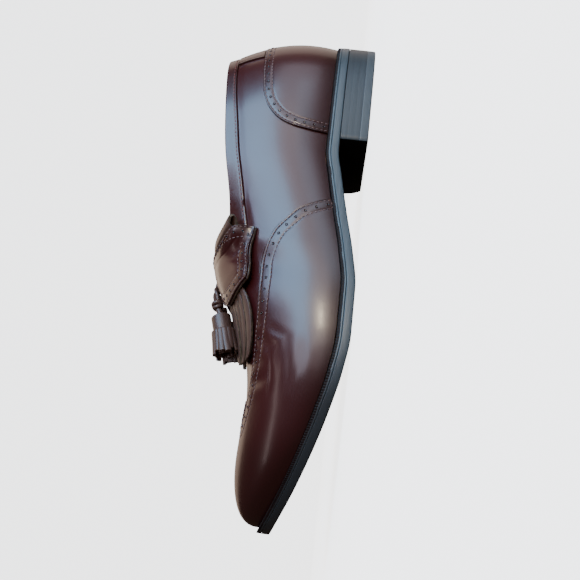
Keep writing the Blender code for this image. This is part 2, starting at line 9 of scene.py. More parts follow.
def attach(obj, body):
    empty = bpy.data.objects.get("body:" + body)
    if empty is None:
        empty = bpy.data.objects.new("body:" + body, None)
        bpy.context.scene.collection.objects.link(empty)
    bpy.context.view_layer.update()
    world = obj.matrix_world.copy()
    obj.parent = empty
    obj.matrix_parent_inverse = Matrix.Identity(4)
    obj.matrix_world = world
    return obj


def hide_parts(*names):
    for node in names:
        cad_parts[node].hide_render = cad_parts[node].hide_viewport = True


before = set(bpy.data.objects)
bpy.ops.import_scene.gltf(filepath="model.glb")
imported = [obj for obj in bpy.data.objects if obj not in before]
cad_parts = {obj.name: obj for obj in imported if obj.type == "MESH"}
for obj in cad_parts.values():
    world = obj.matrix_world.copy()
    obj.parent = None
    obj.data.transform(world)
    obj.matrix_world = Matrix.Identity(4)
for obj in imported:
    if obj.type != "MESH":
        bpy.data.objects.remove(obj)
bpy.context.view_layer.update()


# Outsole: a sole cut from bend leather, 4.6 mm thick, shaped over heel seat, arch and toe spring.
# Its edge is inked and waxed, its underside is brown and has a closed stitching channel.
# Sizes are millimetres from the back of the sole; MM turns them into the frame's metres.
MM = 0.001
SOLE_LENGTH = 304.0
OUTSOLE_THICKNESS = 4.6
SOLE_EDGE = np.array(
    [
        # station outer inner
        (0.0, 0.0, 0.0),
        (8.0, 21.0, -21.0),
        (32.0, 32.5, -32.0),
        (62.0, 34.6, -32.6),
        (92.0, 36.2, -31.0),
        (120.0, 40.2, -31.0),
        (146.0, 45.4, -36.0),
        (166.0, 49.6, -42.0),
        (190.0, 52.8, -47.0),
        (214.0, 52.4, -48.6),
        (240.0, 46.0, -44.4),
        (265.0, 35.5, -37.2),
        (286.0, 20.5, -27.6),
        (SOLE_LENGTH, -6.0, -6.0),
    ]
)
TREAD = np.array(
    [
        # station height of the underside
        (0.0, 16.4),
        (86.0, 16.2),
        (104.0, 13.0),
        (128.0, 8.0),
        (152.0, 2.8),
        (172.0, 0.0),
        (196.0, 0.0),
        (216.0, 2.6),
        (235.0, 7.3),
        (255.0, 13.4),
        (275.0, 20.5),
        (SOLE_LENGTH, 33.0),
    ]
)
OUTSOLE_PROFILE = np.array(
    [
        # inset height, from the middle of the underside over the edge to the top
        (9.0, 0.0),
        (5.5, 0.0),
        (5.1, 0.3),
        (4.7, 0.0),
        (1.2, 0.0),
        (0.35, 0.08),
        (0.08, 0.32),
        (0.0, 0.7),
        (0.0, 2.4),
        (0.0, 4.2),
        (0.02, 4.48),
        (0.14, 4.58),
        (1.2, OUTSOLE_THICKNESS),
        (9.0, OUTSOLE_THICKNESS),
    ]
)
SOLE_COLUMNS = 520
SOLE_SPAN = 48
UNDERSIDE_FACING = -0.8
WELD_REACH = 0.02


def hermite(t, step, start, end, start_slope, end_slope):
    """Cubic from start to end with the given slopes, t from 0 to 1."""
    return (
        start * (1 + 2 * t) * (1 - t) ** 2
        + end * t * t * (3 - 2 * t)
        + step * (start_slope * t * (1 - t) ** 2 - end_slope * t * t * (1 - t))
    )


def smooth_through(knots, values):
    """A smooth curve through the values that never overshoots them."""
    values = np.asarray(values, float)
    wide = (-1,) + (1,) * (values.ndim - 1)
    step = np.diff(knots).reshape(wide)
    rise = np.diff(values, axis=0) / step
    slope = np.zeros_like(values)
    slope[0], slope[-1] = rise[0], rise[-1]
    product = rise[:-1] * rise[1:]
    total = np.where(product > 0, rise[:-1] + rise[1:], 1.0)
    slope[1:-1] = np.where(product > 0, 2 * product / total, 0.0)

    def at(where):
        where = np.clip(np.asarray(where, float), knots[0], knots[-1])
        i = np.clip(np.searchsorted(knots, where, side="right") - 1, 0, len(knots) - 2)
        t = ((where - np.asarray(knots)[i]) / np.diff(knots)[i]).reshape(where.shape + wide[1:])
        return hermite(t, step[i], values[i], values[i + 1], slope[i], slope[i + 1])

    return at


def closed_curve(knots, values, period):
    """A closed curve through the values with continuous curvature."""
    count = len(knots)
    step = np.diff(np.append(knots, knots[0] + period))
    rise = (np.roll(values, -1) - values) / step
    system = np.zeros((count, count))
    right = np.zeros(count)
    for i in range(count):
        before, after = step[i - 1], step[i]
        system[i, i - 1] += after
        system[i, i] += 2 * (before + after)
        system[i, (i + 1) % count] += before
        right[i] = 3 * (after * rise[i - 1] + before * rise[i])
    slope = np.linalg.solve(system, right)

    def at(where):
        where = np.mod(np.asarray(where, float) - knots[0], period) + knots[0]
        i = np.clip(np.searchsorted(knots, where, side="right") - 1, 0, count - 1)
        j = (i + 1) % count
        return hermite((where - knots[i]) / step[i], step[i], values[i], values[j], slope[i], slope[j])

    return at


def turn_at(station):
    """Turn is 0 at the back of the heel, 1 at the toe by the outer side, 2 back by the inner side."""
    return np.arccos(np.clip(1 - 2 * np.asarray(station, float) / SOLE_LENGTH, -1, 1)) / math.pi


def around(outer, inner):
    knots = turn_at(SOLE_EDGE[:, 0])
    both = np.concatenate([outer, inner[-2:0:-1]])
    return closed_curve(np.concatenate([knots, 2 - knots[-2:0:-1]]), both, 2.0)


sole_edge = around(SOLE_EDGE[:, 1], SOLE_EDGE[:, 2])
tread_at = smooth_through(*TREAD.T)
EDGE_SIDES = sole_edge(np.linspace(0, 2, 400))
FRAME_SHIFT = np.array([SOLE_LENGTH / 2, (EDGE_SIDES.max() + EDGE_SIDES.min()) / 2, 0.0])


def outline(turn, inset):
    """Points on the sole's outline, moved in by inset, and the way out of it."""
    turn = np.asarray(turn, float)

    def edge(at):
        return np.stack([SOLE_LENGTH / 2 * (1 - np.cos(math.pi * at)), sole_edge(at)], -1)

    small = 1e-4
    run = edge(turn + small) - edge(turn - small)
    run /= np.linalg.norm(run, axis=-1, keepdims=True)
    out = np.stack([-run[..., 1], run[..., 0]], -1)
    return edge(turn) - out * np.asarray(inset, float)[..., None], out


def sole_point(turn, inset, height):
    """A point of the sole: inset from its edge, height over its underside."""
    plan, _ = outline(turn, np.broadcast_to(inset, np.shape(turn)))
    return np.concatenate([plan, (tread_at(plan[..., 0]) + height)[..., None]], -1)


def step_of(share, count):
    """The number of the nearest of count equal steps."""
    return np.rint(share * count).astype(int)


def points_of(piece):
    """The piece's points as rows of x, y and z."""
    flat = np.empty(3 * len(piece.data.vertices))
    piece.data.vertices.foreach_get("co", flat)
    return flat.reshape(-1, 3)


def new_sheet(name, columns, rows, shape):
    """A grid of columns by rows cells, its points laid out by shape(u, v), both from 0 to 1."""
    bpy.ops.object.select_all(action="DESELECT")
    bpy.ops.mesh.primitive_grid_add(x_subdivisions=columns, y_subdivisions=rows, size=1)
    sheet = bpy.context.object
    sheet.name = sheet.data.name = name
    across, along_it, _ = points_of(sheet).T
    u = step_of(across + 0.5, columns) / columns
    v = step_of(along_it + 0.5, rows) / rows
    place = (shape(u, v) - FRAME_SHIFT) * MM
    sheet.data.vertices.foreach_set("co", place.ravel())
    sheet.data.update()
    return sheet


def only(*pieces):
    bpy.ops.object.select_all(action="DESELECT")
    for piece in pieces:
        piece.select_set(True)
    bpy.context.view_layer.objects.active = pieces[0]


def join(*pieces):
    only(*pieces)
    bpy.ops.object.join()
    return pieces[0]


def edit(piece, *steps):
    """Takes the steps in edit mode, each on the whole mesh."""
    only(piece)
    bpy.ops.object.mode_set(mode="EDIT")
    for step, settings in steps:
        bpy.ops.mesh.select_all(action="SELECT")
        step(**settings)
    bpy.ops.object.mode_set(mode="OBJECT")


def merge(piece):
    """Merges the points that meet."""
    edit(piece, (bpy.ops.mesh.remove_doubles, {"threshold": WELD_REACH * MM}))


def weld(piece, fill=False):
    """Merges the points that meet, closes open ends if asked, and turns the faces outwards."""
    merge(piece)
    if fill:
        edit(piece, (bpy.ops.mesh.fill_holes, {"sides": 0}))
    edit(piece, (bpy.ops.mesh.normals_make_consistent, {"inside": False}))


def modify(piece, kind, **settings):
    """Adds a modifier and applies it."""
    only(piece)
    modifier = piece.modifiers.new(kind.title(), kind)
    for key, value in settings.items():
        setattr(modifier, key, value)
    bpy.ops.object.modifier_apply(modifier=modifier.name)


def shade(piece, degrees=40):
    only(piece)
    bpy.ops.object.shade_smooth_by_angle(angle=math.radians(degrees))


def between(low, high, value):
    """0 below low, 1 above high, smooth in between."""
    share = np.clip((np.asarray(value, float) - low) / (high - low), 0, 1)
    return share * share * (3 - 2 * share)


def take(piece, material, slot, *nodes):
    """Gives a piece its material and ties it to the frame."""
    if not piece.data.materials:
        piece.data.materials.append(material)
    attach(piece, "root")
    if nodes:
        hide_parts(*nodes)
    return piece


def profile_wall(name, columns, profile):
    """A band round the whole sole through the profile's insets and heights."""
    inset, height = profile.T

    def shape(u, v):
        k = step_of(v, len(profile) - 1)
        return sole_point(2 * u, inset[k], height[k])

    return new_sheet(name, columns, len(profile) - 1, shape)


def sole_cap(name, columns, inset, height):
    """The sheet that closes a band across the sole, from its outer to its inner side."""

    def shape(u, v):
        outer = sole_point(u, inset, height)
        inner = sole_point(2 - u, inset, height)
        plan = outer + (inner - outer) * v[:, None]
        plan[:, 2] = tread_at(plan[:, 0]) + height
        return plan

    return new_sheet(name, columns // 2, SOLE_SPAN, shape)


class Finish:
    """A material whose nodes are added and linked by name."""

    def __init__(self, name):
        self.material = bpy.data.materials.new(name)
        self.material.use_nodes = True
        self.tree = self.material.node_tree
        self.shader = self.tree.nodes["Principled BSDF"]

    def node(self, kind, **settings):
        made = self.tree.nodes.new("ShaderNode" + kind)
        for key, value in settings.items():
            setattr(made, key, value)
        return made

    def link(self, start, end):
        self.tree.links.new(start, end)

    def set(self, **sockets):
        for key, value in sockets.items():
            self.shader.inputs[key.replace("_", " ")].default_value = value

    def place(self, scale=(1.0, 1.0, 1.0)):
        """Places on the piece, stretched by scale."""
        where = self.node("TexCoord").outputs["Object"]
        mapping = self.node("Mapping")
        mapping.inputs["Scale"].default_value = scale
        self.link(where, mapping.inputs["Vector"])
        return mapping.outputs["Vector"]

    def noise(self, scale, detail=3.0, stretch=(1.0, 1.0, 1.0)):
        made = self.node("TexNoise")
        made.inputs["Scale"].default_value = scale
        made.inputs["Detail"].default_value = detail
        self.link(self.place(stretch), made.inputs["Vector"])
        return made.outputs["Fac"]

    def ramp(self, value, *stops):
        """Colour or grey at the stops, each (place, colour)."""
        made = self.node("ValToRGB")
        while len(made.color_ramp.elements) < len(stops):
            made.color_ramp.elements.new(0.5)
        for element, (place, colour) in zip(made.color_ramp.elements, stops):
            element.position = place
            element.color = (*colour, 1.0) if len(colour) == 3 else (*colour * 3, 1.0)
        self.link(value, made.inputs["Fac"])
        return made.outputs["Color"]

    def mix(self, factor, first, second):
        """The second colour over the first by the factor."""
        made = self.node("Mix", data_type="RGBA")
        self.link(factor, made.inputs["Factor"])
        for socket, colour in ((made.inputs[6], first), (made.inputs[7], second)):
            if isinstance(colour, tuple):
                socket.default_value = (*colour, 1.0)
            else:
                self.link(colour, socket)
        return made.outputs[2]

    def bump(self, *heights):
        """Relief from (value, strength, depth in millimetres), one over the other."""
        last = None
        for value, strength, depth in heights:
            made = self.node("Bump")
            made.inputs["Strength"].default_value = strength
            made.inputs["Distance"].default_value = depth * MM
            self.link(value, made.inputs["Height"])
            if last is not None:
                self.link(last, made.inputs["Normal"])
            last = made.outputs["Normal"]
        self.link(last, self.shader.inputs["Normal"])

    def colour(self, value):
        self.link(value, self.shader.inputs["Base Color"])

    def clouded(self, scale, detail, dark, light):
        """Colour that wanders between two tones."""
        self.colour(self.ramp(self.noise(scale, detail), (0.3, dark), (0.7, light)))

    def roughness(self, value, low, high):
        made = self.node("MapRange")
        made.inputs["To Min"].default_value = low
        made.inputs["To Max"].default_value = high
        self.link(value, made.inputs["Value"])
        self.link(made.outputs["Result"], self.shader.inputs["Roughness"])


INK_GLOSS = 1.65
# Shares of the sole's length over which the edge's painted reflection fades to painted shade at the toe.
TOE_SHADE_SHARES = (0.64, 0.76)


def inked_edge(name):
    """Edge ink over leather layers, waxed: a painted blue-grey reflection of the window from heel to ball,
    fading in painted shade to black at the toe, where the edge turns away from the window.
    """
    finish = Finish(name)
    lines = finish.noise(60, 4, (1.0, 1.0, 30.0))
    # Painted reflection: blue-grey tones stand in for the window mirrored in the black ink.
    streaked = finish.ramp(lines, (0.35, (0.026, 0.048, 0.06)), (0.7, (0.046, 0.077, 0.093)))
    place = finish.node("SeparateXYZ")
    finish.link(finish.place(), place.inputs["Vector"])
    share = finish.node("MapRange")
    share.inputs["From Min"].default_value = -SOLE_LENGTH / 2 * MM
    share.inputs["From Max"].default_value = SOLE_LENGTH / 2 * MM
    finish.link(place.outputs["X"], share.inputs["Value"])
    # Painted shade: towards the toe the colour fades to black, as the edge there faces away from the
    # window.
    toe_shade = finish.ramp(share.outputs["Result"], (TOE_SHADE_SHARES[0], (0.0,)), (TOE_SHADE_SHARES[1], (1.0,)))
    finish.colour(finish.mix(toe_shade, streaked, (0.021, 0.026, 0.029)))
    finish.roughness(finish.noise(45), 0.36, 0.46)
    finish.bump((lines, 0.25, 0.2), (finish.noise(900, 2), 0.25, 0.08))
    finish.set(IOR=INK_GLOSS)
    return finish.material


def bare_sole(name):
    """Brown sole leather, rubbed and lightly scratched along the shoe."""
    finish = Finish(name)
    cloud = finish.noise(22, 5)
    streaks = finish.noise(40, 4, (0.15, 1.0, 1.0))
    brown = finish.ramp(cloud, (0.3, (0.11, 0.045, 0.018)), (0.7, (0.2, 0.095, 0.04)))
    streaked = finish.ramp(streaks, (0.55, (0.0,)), (0.75, (0.7,)))
    finish.colour(finish.mix(streaked, brown, (0.07, 0.03, 0.014)))
    finish.roughness(streaks, 0.35, 0.6)
    finish.bump((streaks, 0.3, 0.2), (finish.noise(700, 3), 0.2, 0.08))
    return finish.material


outsole = profile_wall("outsole", SOLE_COLUMNS, OUTSOLE_PROFILE)
for cap_height in OUTSOLE_PROFILE[[0, -1], 1]:
    outsole = join(outsole, sole_cap("cap", SOLE_COLUMNS, OUTSOLE_PROFILE[0, 0], cap_height))
weld(outsole)
shade(outsole, 60)
edge_ink = inked_edge("sole_edge_ink")
take(outsole, edge_ink, "sole_leather", "outsole")
outsole.data.materials.append(bare_sole("sole_underside"))
for face in outsole.data.polygons:
    face.material_index = int(face.normal.z < UNDERSIDE_FACING)


# Welt: a strip of leather sewn to the foot of the upper and to the outsole below it.
# Its edge is inked with the sole's, and its top is wheeled with short marks; the top's near-black,
# low-gloss colour is partly its own dark ink and partly painted shade under the foot of the upper.
WELT_FLOOR = 4.66
WELT_TOP = 7.5
WELT_WIDTH = 9.0
WELT_PROFILE = np.array(
    [
        # inset height, up the edge, over the top to the insole and back underneath
        (0.9, WELT_FLOOR),
        (0.16, 4.68),
        (0.07, 4.78),
        (0.06, 5.2),
        (0.06, 5.7),
        (0.1, 5.9),
        (0.12, 6.6),
        (0.16, 7.1),
        (0.4, 7.4),
        (0.8, WELT_TOP),
        (1.5, WELT_TOP),
        (2.1, WELT_TOP),
        (2.8, WELT_TOP),
        (WELT_WIDTH, WELT_TOP),
        (WELT_WIDTH, WELT_FLOOR),
        (0.9, WELT_FLOOR),
    ]
)
WELT_COLUMNS = 2400
WELT_MARKS = 600
WELT_MARK_DEPTH = 0.2
WELT_MARKS_END = (2.2, 3.0)
WELT_MARKS_TURN_DOWN = (0.1, 0.4)
WELT_DARK_FROM = 5.8


def welt_shape(u, v):
    inset, height = WELT_PROFILE.T
    k = step_of(v, len(WELT_PROFILE) - 1)
    wheel = 0.5 - 0.5 * np.cos(2 * math.pi * WELT_MARKS * u)
    marked = (height[k] > WELT_DARK_FROM) * (1 - between(*WELT_MARKS_END, inset[k]))
    sunk = WELT_MARK_DEPTH * wheel * marked
    down = sunk * between(*WELT_MARKS_TURN_DOWN, inset[k])
    return sole_point(2 * u, inset[k] + sunk, height[k] - down)


welt = new_sheet("welt", WELT_COLUMNS, len(WELT_PROFILE) - 1, welt_shape)
weld(welt)
shade(welt, 50)
take(welt, edge_ink, "sole_leather", "welt")
# Painted shade, over dark ink: the welt's top under the upper is made near black and given little gloss.
wheeled = Finish("wheeled_welt")
wheeled.clouded(80, 3, (0.005, 0.003, 0.003), (0.012, 0.006, 0.006))
wheeled.roughness(wheeled.noise(60), 0.45, 0.6)
wheeled.set(Specular_IOR_Level=0.2)
welt.data.materials.append(wheeled.material)
for face in welt.data.polygons:
    face_height = face.center.z / MM - float(tread_at(face.center.x / MM + FRAME_SHIFT[0]))
    face.material_index = int(face_height > WELT_DARK_FROM)


# Insole: leather board with a tan leather sock glued over it, seen through the collar.
# The solid of the frame has its shape, so it only gets its material.
def sock_leather(name, light, dark):
    """Plain tan leather, dull and a little clouded."""
    finish = Finish(name)
    finish.clouded(18, 4, dark, light)
    finish.roughness(finish.noise(90), 0.5, 0.7)
    finish.bump((finish.noise(1200, 3), 0.25, 0.1), (finish.noise(140, 2), 0.2, 0.3))
    return finish.material


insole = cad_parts["insole"]
insole.data.materials.clear()
insole.data.materials.append(sock_leather("sock_leather", (0.36, 0.2, 0.1), (0.24, 0.12, 0.055)))


# Heel stack: layers of sole leather, glued and nailed, trimmed flush and inked black.
# Fine grooves show where the layers meet; the front wall, the breast, is cut straight across.
BREAST_OUTER = 79.0
BREAST_INNER = 85.0
LIFT_TOP = 5.0
STACK_FLOOR = LIFT_TOP + 0.05
STACK_TOP = 16.15
STACK_LAYERS = 3
STACK_FOOT_INSET = 0.56
STACK_TOP_INSET = 0.2
STACK_GROOVE = 0.025
HEEL_COLUMNS = 220
BREAST_SHARE = 0.22
CORNER_SHARE = 0.8
STACK_CORNER = 3.0
STACK_TOP_CORNER = 0.5
BREAST_FACING = 0.8
LAYER_EDGE = (
    # share of the layer's height, share of the groove's depth
    (0.0, 1.0),
    (0.06, 0.25),
    (0.14, 0.0),
    (0.5, 0.0),
    (0.86, 0.0),
    (0.94, 0.25),
    (1.0, 1.0),
)


def heel_line(u, inset, corner):
    """The heel's outline, u from 0 round to 1, the last share of it along the breast."""
    back = np.clip(u / (1 - BREAST_SHARE), 0, 1)
    first, last = -turn_at(BREAST_INNER - corner), turn_at(BREAST_OUTER)
    plan, _ = outline(first + (last - first) * back, inset)
    start, _ = outline(first, inset)
    end, _ = outline(np.full(u.shape, last), inset)
    cut = start + corner[:, None]
    front = np.clip((u - 1 + BREAST_SHARE) / BREAST_SHARE, 0, 1)[:, None]
    to_cut = end + (cut - end) * front / CORNER_SHARE
    to_start = cut + (start - cut) * (front - CORNER_SHARE) / (1 - CORNER_SHARE)
    return np.where(front > 0, np.where(front < CORNER_SHARE, to_cut, to_start), plan)


def heel_block(name, profile, foot_corner, top_corner):
    """A block with the heel's outline through the profile's insets and heights, both ends closed."""
    inset, height = np.array(profile).T
    corner = np.interp(height, (height.min(), height.max()), (foot_corner, top_corner))

    def shape(u, v):
        k = step_of(v, len(inset) - 1)
        return np.concatenate([heel_line(u, inset[k], corner[k]), height[k][:, None]], -1)

    block = new_sheet(name, HEEL_COLUMNS, len(inset) - 1, shape)
    weld(block, fill=True)
    shade(block, 35)
    return block


def layer_rows():
    """Profile rows of the stack's wall, each layer with rounded edges."""
    rows = []
    for layer in range(STACK_LAYERS):
        for share, depth in LAYER_EDGE:
            up = (layer + share) / STACK_LAYERS
            inset = STACK_FOOT_INSET + (STACK_TOP_INSET - STACK_FOOT_INSET) * up
            rows.append((inset + STACK_GROOVE * depth, STACK_FLOOR + (STACK_TOP - STACK_FLOOR) * up))
    return rows


def stacked_leather(name):
    """Inked heel layers: black satin ink with a painted blue-grey reflection of the window in its colour,
    fine lines along the layers and faint rub marks.
    """
    finish = Finish(name)
    lines = finish.noise(50, 4, (1.0, 1.0, 26.0))
    rubs = finish.noise(30, 5)
    # Painted reflection: the ink's blue-grey tones stand in for the window mirrored in the heel's side.
    ink = finish.ramp(lines, (0.3, (0.013, 0.026, 0.034)), (0.75, (0.022, 0.04, 0.05)))
    worn = finish.ramp(rubs, (0.58, (0.0,)), (0.8, (0.5,)))
    finish.colour(finish.mix(worn, ink, (0.03, 0.042, 0.05)))
    finish.roughness(rubs, 0.4, 0.5)
    finish.bump((lines, 0.2, 0.15), (finish.noise(600, 2), 0.12, 0.08))
    finish.set(IOR=INK_GLOSS)
    return finish.material


heel_stack = heel_block("heel_stack", layer_rows(), STACK_CORNER, STACK_TOP_CORNER)
take(heel_stack, stacked_leather("stacked_leather"), "heel_leather", "heel_stack")
# Painted shade: the breast's near-black, dull ink is darker than the rest of the heel because the breast
# faces away from the lights.
breast_shade_finish = Finish("breast_painted_shade")
breast_shade_finish.clouded(60, 3, (0.003, 0.003, 0.003), (0.008, 0.008, 0.008))
breast_shade_finish.set(Roughness=0.75, Specular_IOR_Level=0.15)


def shade_breast(piece):
    """Painted shade on the heel's straight front wall: it faces away from the lights, so its ink is made
    darker and duller than the sides.
    """
    piece.data.materials.append(breast_shade_finish.material)
    for face in piece.data.polygons:
        face.material_index = int(face.normal.x > BREAST_FACING)


shade_breast(heel_stack)


# Top lift: the rubber walking layer nailed under the stack, its inner front corner cut off.
# Its lower edge is rounded by wear, and the rubber is duller than the inked leather.
LIFT_CORNER = 7.0
LIFT_ROWS = (
    # inset height
    (1.9, 0.0),
    (1.2, 0.12),
    (0.85, 0.5),
    (0.78, 1.2),
    (0.7, 2.6),
    (0.6, 4.4),
    (0.6, 4.9),
    (0.64, LIFT_TOP),
)


def lift_rubber(name):
    """Dark rubber, dull, a little greyer where it is worn; its blue-grey tone is a painted reflection of
    the window.
    """
    finish = Finish(name)
    rubs = finish.noise(35, 5)
    finish.colour(finish.ramp(rubs, (0.35, (0.042, 0.06, 0.07)), (0.75, (0.066, 0.09, 0.1))))
    finish.roughness(rubs, 0.42, 0.52)
    finish.bump((finish.noise(500, 3), 0.25, 0.1))
    finish.set(IOR=INK_GLOSS)
    return finish.material


top_lift = heel_block("top_lift", LIFT_ROWS, LIFT_CORNER, STACK_CORNER)
take(top_lift, lift_rubber("lift_rubber"), "lift_rubber", "top_lift")
shade_breast(top_lift)


# Upper: vamp and quarters of polished burgundy calf, drawn over the last and sewn to the welt.
# The leather has a brush-off finish, near black along its seams and at the toe, and it is creased where the
# foot bends. Down at the welt it is darker still, partly brush-off and partly painted shade where the upper
# meets the welt.
LAST = np.array(
    [
        # margin top_station top_outer top_inner top_height fullness bulge arch, a row for each edge row
        (3.0, 18.0, 0.0, 0.0, 91.2, 2.0, 3.2, 0.0),
        (2.8, 21.0, 15.5, -15.5, 91.2, 2.0, 3.3, 0.0),
        (2.4, 39.5, 25.5, -25.5, 89.4, 2.0, 3.6, 0.0),
        (2.2, 65.5, 28.0, -27.5, 86.2, 2.0, 3.5, 0.0),
        (2.2, 92.0, 28.0, -26.0, 82.0, 2.0, 3.0, 0.0),
        (2.6, 117.0, 26.0, -24.0, 76.3, 2.0, 2.6, 0.15),
        (3.2, 137.0, 18.0, -19.0, 75.0, 2.0, 2.2, 0.6),
        (3.6, 150.0, -3.0, -3.0, 76.8, 2.0, 1.8, 0.95),
        (4.0, 174.0, -3.0, -3.0, 69.5, 2.05, 1.4, 1.0),
        (4.2, 198.0, -4.0, -4.0, 60.8, 2.1, 1.2, 1.0),
        (4.4, 222.0, -5.0, -5.0, 55.7, 2.15, 1.0, 1.0),
        (4.4, 243.0, -5.5, -5.5, 54.9, 2.25, 0.8, 1.0),
        (4.4, 256.0, -6.0, -6.0, 55.6, 2.4, 0.6, 1.0),
        (4.4, 262.0, -6.0, -6.0, 55.8, 2.5, 0.6, 1.0),
    ]
)
THROAT_TURN = float(turn_at(166.0))
FOOT_GAP = 0.45
UPPER_WALL = 2.0
UPPER_COLUMNS = 110
UPPER_ROWS = 520
COLLAR_ROLL_STEPS = 8
CREASES = (
    # points as turn and rise, depth and width
    (((0.612, 0.46), (0.619, 0.397), (0.622, 0.3), (0.63, 0.16)), 0.32, 2.6),
    (((0.628, 0.4), (0.63, 0.33), (0.634, 0.24)), 0.2, 1.8),
    (((0.672, 0.56), (0.664, 0.45), (0.654, 0.357), (0.646, 0.236)), 0.26, 3.0),
    (((0.66, 0.4), (0.652, 0.3), (0.648, 0.2)), 0.16, 1.6),
    (((0.6, 0.36), (0.607, 0.26), (0.612, 0.18)), 0.16, 2.2),
)
CREASE_RIDGE = 0.45
CREASE_RIDGE_PLACE = 1.9
CREASE_UNDER_CAP = 0.6
COLLAR_EDGE = (
    # turn rise, from the back of the heel to the throat
    (0.0, 0.915),
    (0.2, 0.918),
    (0.2525, 0.911),
    (0.3317, 0.88),
    (0.39, 0.866),
    (0.4358, 0.843),
    (0.4533, 0.81),
    (0.475, 0.74),
    (0.49, 0.7),
    (0.5, 0.68),
)
collar_foot = smooth_through(*np.array(COLLAR_EDGE).T)
SEAM_DIP = 0.4
SEAM_DIP_WIDTH = 3.2
SEAM_POINTS = 500
FOOT_SINK = 0.3
# Painted shade, with some brush-off: the leather darkens down at the welt, where the upper meets it.
FOOT_BRUSH_AND_SHADE = 0.8
FOOT_BRUSH_AND_SHADE_REACH = 7.0
TOE_DARK = 0.5
TOE_DARK_STATIONS = (215, 300)
SEAM_DARK = 0.6
SEAM_DARK_REACH = 5.0


def along(outer, inner):
    """A curve for each side of the shoe, without overshoot."""
    knots = turn_at(SOLE_EDGE[:, 0])
    sides = smooth_through(knots, outer), smooth_through(knots, inner)
    return lambda turn: np.where(
        np.mod(turn, 2) <= 1, sides[0](np.mod(turn, 2)), sides[1](2 - np.mod(turn, 2))
    )


margin_at = around(LAST[:, 0], LAST[:, 0])
top_station_at = around(LAST[:, 1], LAST[:, 1])
top_side_at = along(LAST[:, 2], LAST[:, 3])
top_height_at = around(LAST[:, 4], LAST[:, 4])
fullness_at = around(LAST[:, 5], LAST[:, 5])
bulge_at = around(LAST[:, 6], LAST[:, 6])
arch_at = along(LAST[:, 7], LAST[:, 7])
NORMAL_STEP = 0.002
RIDGE_LIMIT = 0.99
RIDGE_BLEND = 0.05


def foot_height(station):
    return tread_at(station) + WELT_TOP + FOOT_GAP


def last_surface(turn, rise):
    """The outside of the upper; rise is 0 at the welt and 1 at the collar or the ridge of the vamp."""
    turn, rise = np.broadcast_arrays(np.asarray(turn, float), np.asarray(rise, float))
    foot, out = outline(turn, margin_at(turn))
    low = foot_height(foot[..., 0])
    top = np.stack([top_station_at(turn), top_side_at(turn)], -1)
    angle = rise * math.pi / 2
    power = 2 / fullness_at(turn)
    arch = arch_at(turn)
    inward = (1 - arch) * rise**2 + arch * (1 - np.cos(angle) ** power)
    upward = (1 - arch) * rise + arch * np.sin(angle) ** power
    swell = bulge_at(turn) * 4 * rise * (1 - rise) ** (1 + arch)
    plan = foot + (top - foot) * inward[..., None] + out * swell[..., None]
    return np.concatenate([plan, (low + (top_height_at(turn) - low) * upward)[..., None]], -1)


def unit(vectors):
    return vectors / np.linalg.norm(vectors, axis=-1, keepdims=True)


def skin_normal(turn, rise):
    """The way out of the upper."""
    low = np.clip(rise - NORMAL_STEP, 0, RIDGE_LIMIT - 2 * NORMAL_STEP)
    high = np.clip(rise + NORMAL_STEP, 2 * NORMAL_STEP, RIDGE_LIMIT)
    middle = (low + high) / 2
    run = last_surface(turn + NORMAL_STEP, middle) - last_surface(turn - NORMAL_STEP, middle)
    return unit(np.cross(last_surface(turn, high) - last_surface(turn, low), run))


def skin(turn, rise, offset):
    """A point over the upper by offset, never below the welt."""
    turn, rise = np.broadcast_arrays(np.asarray(turn, float), np.asarray(rise, float))
    normal = skin_normal(turn, rise)
    in_front = np.abs(turn - 1) <= 1 - THROAT_TURN + 1e-6
    share = between(RIDGE_LIMIT - RIDGE_BLEND, 1.0, rise) * in_front
    both = unit(normal + skin_normal(2 - turn, rise))
    normal = unit(normal + (both - normal) * share[..., None])
    points = last_surface(turn, rise) + normal * np.broadcast_to(offset, turn.shape)[..., None]
    points[..., 2] = np.maximum(points[..., 2], foot_height(points[..., 0]) - FOOT_SINK)
    return points


def nearest(points, line):
    """Distance of each point from a line of points, in millimetres."""
    tree = KDTree(len(line))
    for k, point in enumerate(line):
        tree.insert(point, k)
    tree.balance()
    return np.array([tree.find(point)[2] for point in points])


def run_along(points):
    """How far along a line each of its points lies."""
    return np.concatenate([[0], np.cumsum(np.linalg.norm(np.diff(points, axis=0), axis=1))])


def drawn(points, count=160):
    """Many turns and rises along a line given by a few."""
    points = np.array(points)
    run = run_along(last_surface(*points.T))
    return smooth_through(run, points)(np.linspace(0, run[-1], count)).T


def crease_depth(points):
    """How far the creases of the vamp sink the leather, with a soft ridge beside each."""
    sunk = np.zeros(len(points))
    for line, depth, width in CREASES:
        turn, rise = drawn(line)
        far = nearest(points, last_surface(turn, rise)) / width
        ridge = CREASE_RIDGE * np.exp(-((far - CREASE_RIDGE_PLACE) ** 2))
        sunk += depth * (np.exp(-far * far) - ridge)
    return sunk


def brush_off_and_shade(piece, *lines):
    """Marks how dark the leather is: brush-off along the lines and at the toe, and down at the welt partly
    brush-off, partly painted shade.
    """
    place = points_of(piece) / MM + FRAME_SHIFT
    over_welt = np.maximum(place[:, 2] - foot_height(place[:, 0]), 0)
    dark = FOOT_BRUSH_AND_SHADE * np.exp(-over_welt / FOOT_BRUSH_AND_SHADE_REACH)
    dark += TOE_DARK * between(*TOE_DARK_STATIONS, place[:, 0])
    for line in lines:
        dark += SEAM_DARK * np.exp(-nearest(place, line) / SEAM_DARK_REACH)
    mark = piece.data.attributes.new("brush_off_and_shade", "FLOAT", "POINT")
    mark.data.foreach_set("value", np.clip(dark, 0, 1))


